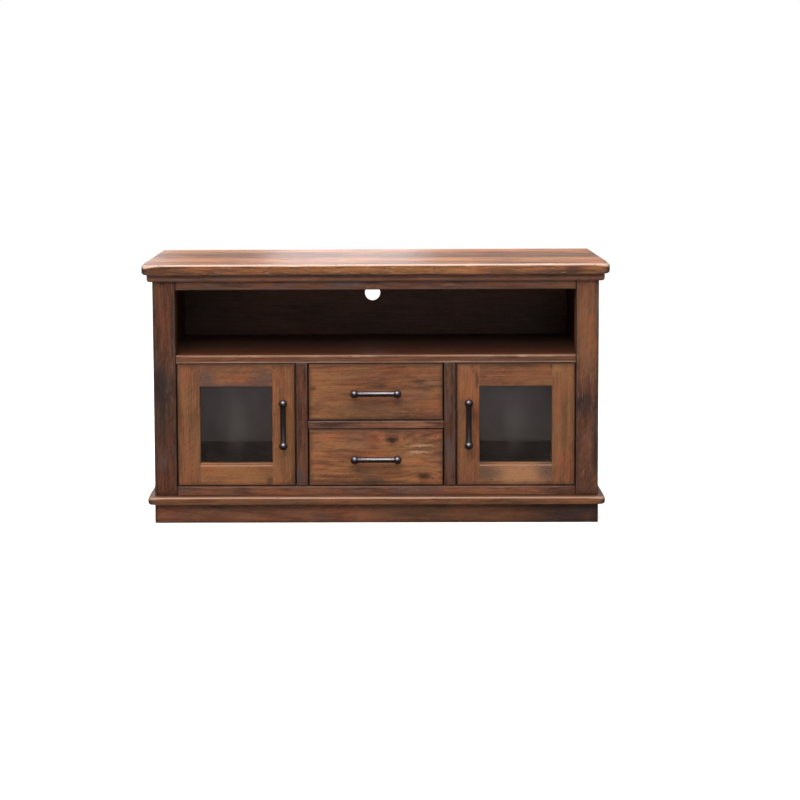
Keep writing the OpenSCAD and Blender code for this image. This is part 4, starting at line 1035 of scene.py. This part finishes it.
class TVUNIT_OT_handles(bpy.types.Operator):
    """Makes the four bar pulls"""

    bl_idname = "tv_unit.handles"
    bl_label = "Handles"

    def execute(self, context):
        iron = context.scene.tv_unit_iron
        places = {"door_left": Z, "door_right": Z, "drawer_upper": X, "drawer_lower": X}
        for number, (body, axis) in enumerate(places.items()):
            lo, hi = corners(f"{body}_handle")
            middle = (lo + hi) / 2
            middle[1] = corners(f"{body}_stiles" if "door" in body else f"{body}_front")[0][1]
            standoff = middle[1] - lo[1] - BALL_R
            half = ((hi - lo) @ axis) / 2 - BALL_R
            finish = antique_iron(f"antique_iron_{body}", tint(iron.tone), iron.gloss, number)
            piece(f"{body}_bar_pull", bar_pull(middle, axis, standoff, half), body, finish,
                  [f"{body}_handle"])
        return {"FINISHED"}


class TVUNIT_OT_metalwork(bpy.types.Operator):
    """Finishes the screws, pivots, strikes and catches"""

    bl_idname = "tv_unit.metalwork"
    bl_label = "Screws, pivots and catches"

    def execute(self, context):
        zinc = zinc_steel("zinc_plated_steel")
        for node in ("top_screws", "door_pivots", "door_left_fittings", "door_right_fittings"):
            dress(node, zinc)
        dress("door_catches", moulded_plastic("moulded_abs"))
        return {"FINISHED"}


def soft_light(name, size, power, place, target, colour):
    """An area light at a place, facing a target."""
    light = bpy.data.lights.new(name, "AREA")
    light.shape = "RECTANGLE"
    light.size, light.size_y = size
    light.energy = power
    light.color = colour[:3]
    made = bpy.data.objects.new(name, light)
    bpy.context.scene.collection.objects.link(made)
    made.location = place
    look = Vector(target) - Vector(place)
    made.rotation_euler = look.to_track_quat("-Z", "Y").to_euler()
    made.visible_camera = False
    return made


def flat_sheet(name, lo, hi, height, finish):
    """A level rectangle of the stage, as a grid of two parameters."""
    count = 9
    across, back = np.meshgrid(np.linspace(lo[0], hi[0], count), np.linspace(lo[1], hi[1], count))
    points = np.stack([across, back, 0 * across + height], -1).reshape(-1, 3)
    row, column = np.meshgrid(np.arange(count - 1), np.arange(count - 1), indexing="ij")
    first = row * count + column
    faces = np.stack([first, first + 1, first + count + 1, first + count], -1).reshape(-1, 4)
    mesh = bpy.data.meshes.new(name)
    mesh.from_pydata(points.tolist(), [], faces.tolist())
    mesh.materials.append(finish)
    made = bpy.data.objects.new(name, mesh)
    bpy.context.scene.collection.objects.link(made)
    return made


def pale_room(brightness):
    """The world: bright overhead and behind the unit, dark in front of it, and white for the camera."""
    world = bpy.data.worlds.new("pale_room")
    world.use_nodes = True
    world.node_tree.nodes.clear()
    node = functools.partial(add_node, world.node_tree)
    way = node("VectorMath", node("TexCoord"), (0.0, 0.4, 1.0), operation="DOT_PRODUCT", out=1)
    walls = node("ValToRGB", node("MapRange", way, -1.0, 1.0),
                 ramp=[(0.48, linear("4d423c")), (0.6, linear("a9a5a1")), (0.75, linear("f4f2f0"))])
    room = node("Background", walls, brightness)
    white = node("Background", (1, 1, 1, 1), 1.0)
    node("OutputWorld", node("MixShader", node("LightPath"), room, white), out=None)
    return world


def pale_floor(glow, bounce):
    """The floor's finish. The camera sees it matt and glowing. To the light it is darker, by the
    share that it throws up at the unit."""
    finish, node = blank_finish("pale_floor")
    cast = node("TexNoise", {"Vector": node("TexCoord", out="Object"), "Scale": 1.5})
    tone = node("ValToRGB", cast, ramp=[(0.3, linear("eeeceb")), (0.7, linear("f6f5f4"))])
    thrown = node("Mix", {0: bounce, 6: (0, 0, 0, 1), 7: tone}, data_type="RGBA", out=2)
    lit = node("AddShader", node("BsdfDiffuse", tone), node("Emission", tone, glow))
    seen = node("MixShader", node("LightPath"), node("BsdfDiffuse", thrown), lit)
    node("OutputMaterial", seen, out=None)
    return finish


def fitted_camera():
    """The camera as fitted to the corners that the photo shows. Its focal length and the middle of
    its view are in the photo's pixels, its place in metres and its turns in degrees."""
    width, focal, middle_x, middle_y = 800, 1423.9, 360, 200
    place, turns = (0.0009, -4.4301, 1.2530), (-0.613, 3.687, -0.296)
    camera = bpy.data.cameras.new("camera")
    camera.sensor_width = 36.0
    camera.lens = focal / width * camera.sensor_width
    camera.shift_x, camera.shift_y = 0.5 - middle_x / width, middle_y / width - 0.5
    yaw, pitch, roll = (math.radians(a) for a in turns)
    look = math.cos(pitch) * (math.sin(yaw) * X + math.cos(yaw) * Y) - math.sin(pitch) * Z
    right = math.cos(yaw) * X - math.sin(yaw) * Y
    up = np.cross(right, look)
    axes = [math.cos(roll) * right + math.sin(roll) * up, math.cos(roll) * up - math.sin(roll) * right]
    turn = Matrix(np.stack([*axes, -look], 1).tolist()).to_4x4()
    made = bpy.data.objects.new("camera", camera)
    bpy.context.scene.collection.objects.link(made)
    made.matrix_world = Matrix.Translation(place) @ turn
    return made


class TVUNIT_OT_stage(bpy.types.Operator):
    """Sets up the pale floor, the soft light and the camera"""

    bl_idname = "tv_unit.stage"
    bl_label = "Stage"

    def execute(self, context):
        stage = context.scene.tv_unit_stage
        context.scene.view_settings.view_transform = "Standard"
        context.scene.world = pale_room(stage.room)
        floor = flat_sheet("floor", (-6, -6), (6, 6), 0.0, pale_floor(stage.floor, stage.bounce))
        floor.visible_glossy = floor.visible_transmission = False

        middle = (0, 0, 0.4)
        soft_light("key", (2.6, 2.0), stage.key, (-0.4, -2.6, 3.1), middle, linear("fff6ec"))
        soft_light("fill", (3.0, 2.0), stage.fill, (0.6, -4.5, 1.3), middle, linear("fff6ec"))
        soft_light("overhead", (2.0, 0.8), stage.overhead, (0, 0.3, 2.4), (0, 0.1, 0.4), linear("fff8f0"))
        for name, x in (("middle", -0.15), ("left", -1.5)):
            soft_light(f"window_{name}", (0.8, 1.0), stage.window, (x, 3.0, 1.3), middle, linear("f6f8ff"))

        # Each pane holds back the lamps' light in a render, so a lamp behind it stands for that light.
        for side in ("left", "right"):
            lo, hi = corners(f"door_{side}_glass")
            x, z = (lo[0] + hi[0]) / 2, (lo[2] + hi[2]) / 2
            behind = hi[1] + 10 * MM
            inside = soft_light(f"cupboard_{side}", (0.16, 0.08), stage.cupboard, (x, behind, z + 20 * MM),
                                (x, 0.19, z), linear("d2e2ff"))
            inside.visible_glossy = inside.visible_transmission = False
        context.scene.camera = fitted_camera()
        return {"FINISHED"}


STEPS = (TVUNIT_OT_stage, TVUNIT_OT_slabs, TVUNIT_OT_cornice, TVUNIT_OT_frame_boards, TVUNIT_OT_plinth,
         TVUNIT_OT_fronts, TVUNIT_OT_glass, TVUNIT_OT_inside, TVUNIT_OT_handles, TVUNIT_OT_metalwork)
SETTINGS = {"tv_unit_timber": TvUnitTimber, "tv_unit_iron": TvUnitIron, "tv_unit_glass": TvUnitGlass,
            "tv_unit_stage": TvUnitStage}


class TVUNIT_PT_panel(bpy.types.Panel):
    """Lists the settings and the steps that make the tv unit"""

    bl_idname = "TVUNIT_PT_panel"
    bl_label = "Tv unit"
    bl_space_type = "VIEW_3D"
    bl_region_type = "UI"
    bl_category = "Tv unit"

    def draw(self, context):
        for name, group in SETTINGS.items():
            for prop in group.__annotations__:
                self.layout.prop(getattr(context.scene, name), prop)
        for step in STEPS:
            self.layout.operator(step.bl_idname)


def register():
    for kind in (*SETTINGS.values(), *STEPS, TVUNIT_PT_panel):
        bpy.utils.register_class(kind)
    for name, group in SETTINGS.items():
        setattr(bpy.types.Scene, name, bpy.props.PointerProperty(type=group))


def unregister():
    for name in SETTINGS:
        delattr(bpy.types.Scene, name)
    for kind in (TVUNIT_PT_panel, *reversed(STEPS), *reversed(list(SETTINGS.values()))):
        bpy.utils.unregister_class(kind)


def main():
    register()
    for step in STEPS:
        group, name = step.bl_idname.split(".")
        getattr(getattr(bpy.ops, group), name)()


if __name__ == "__main__":
    main()
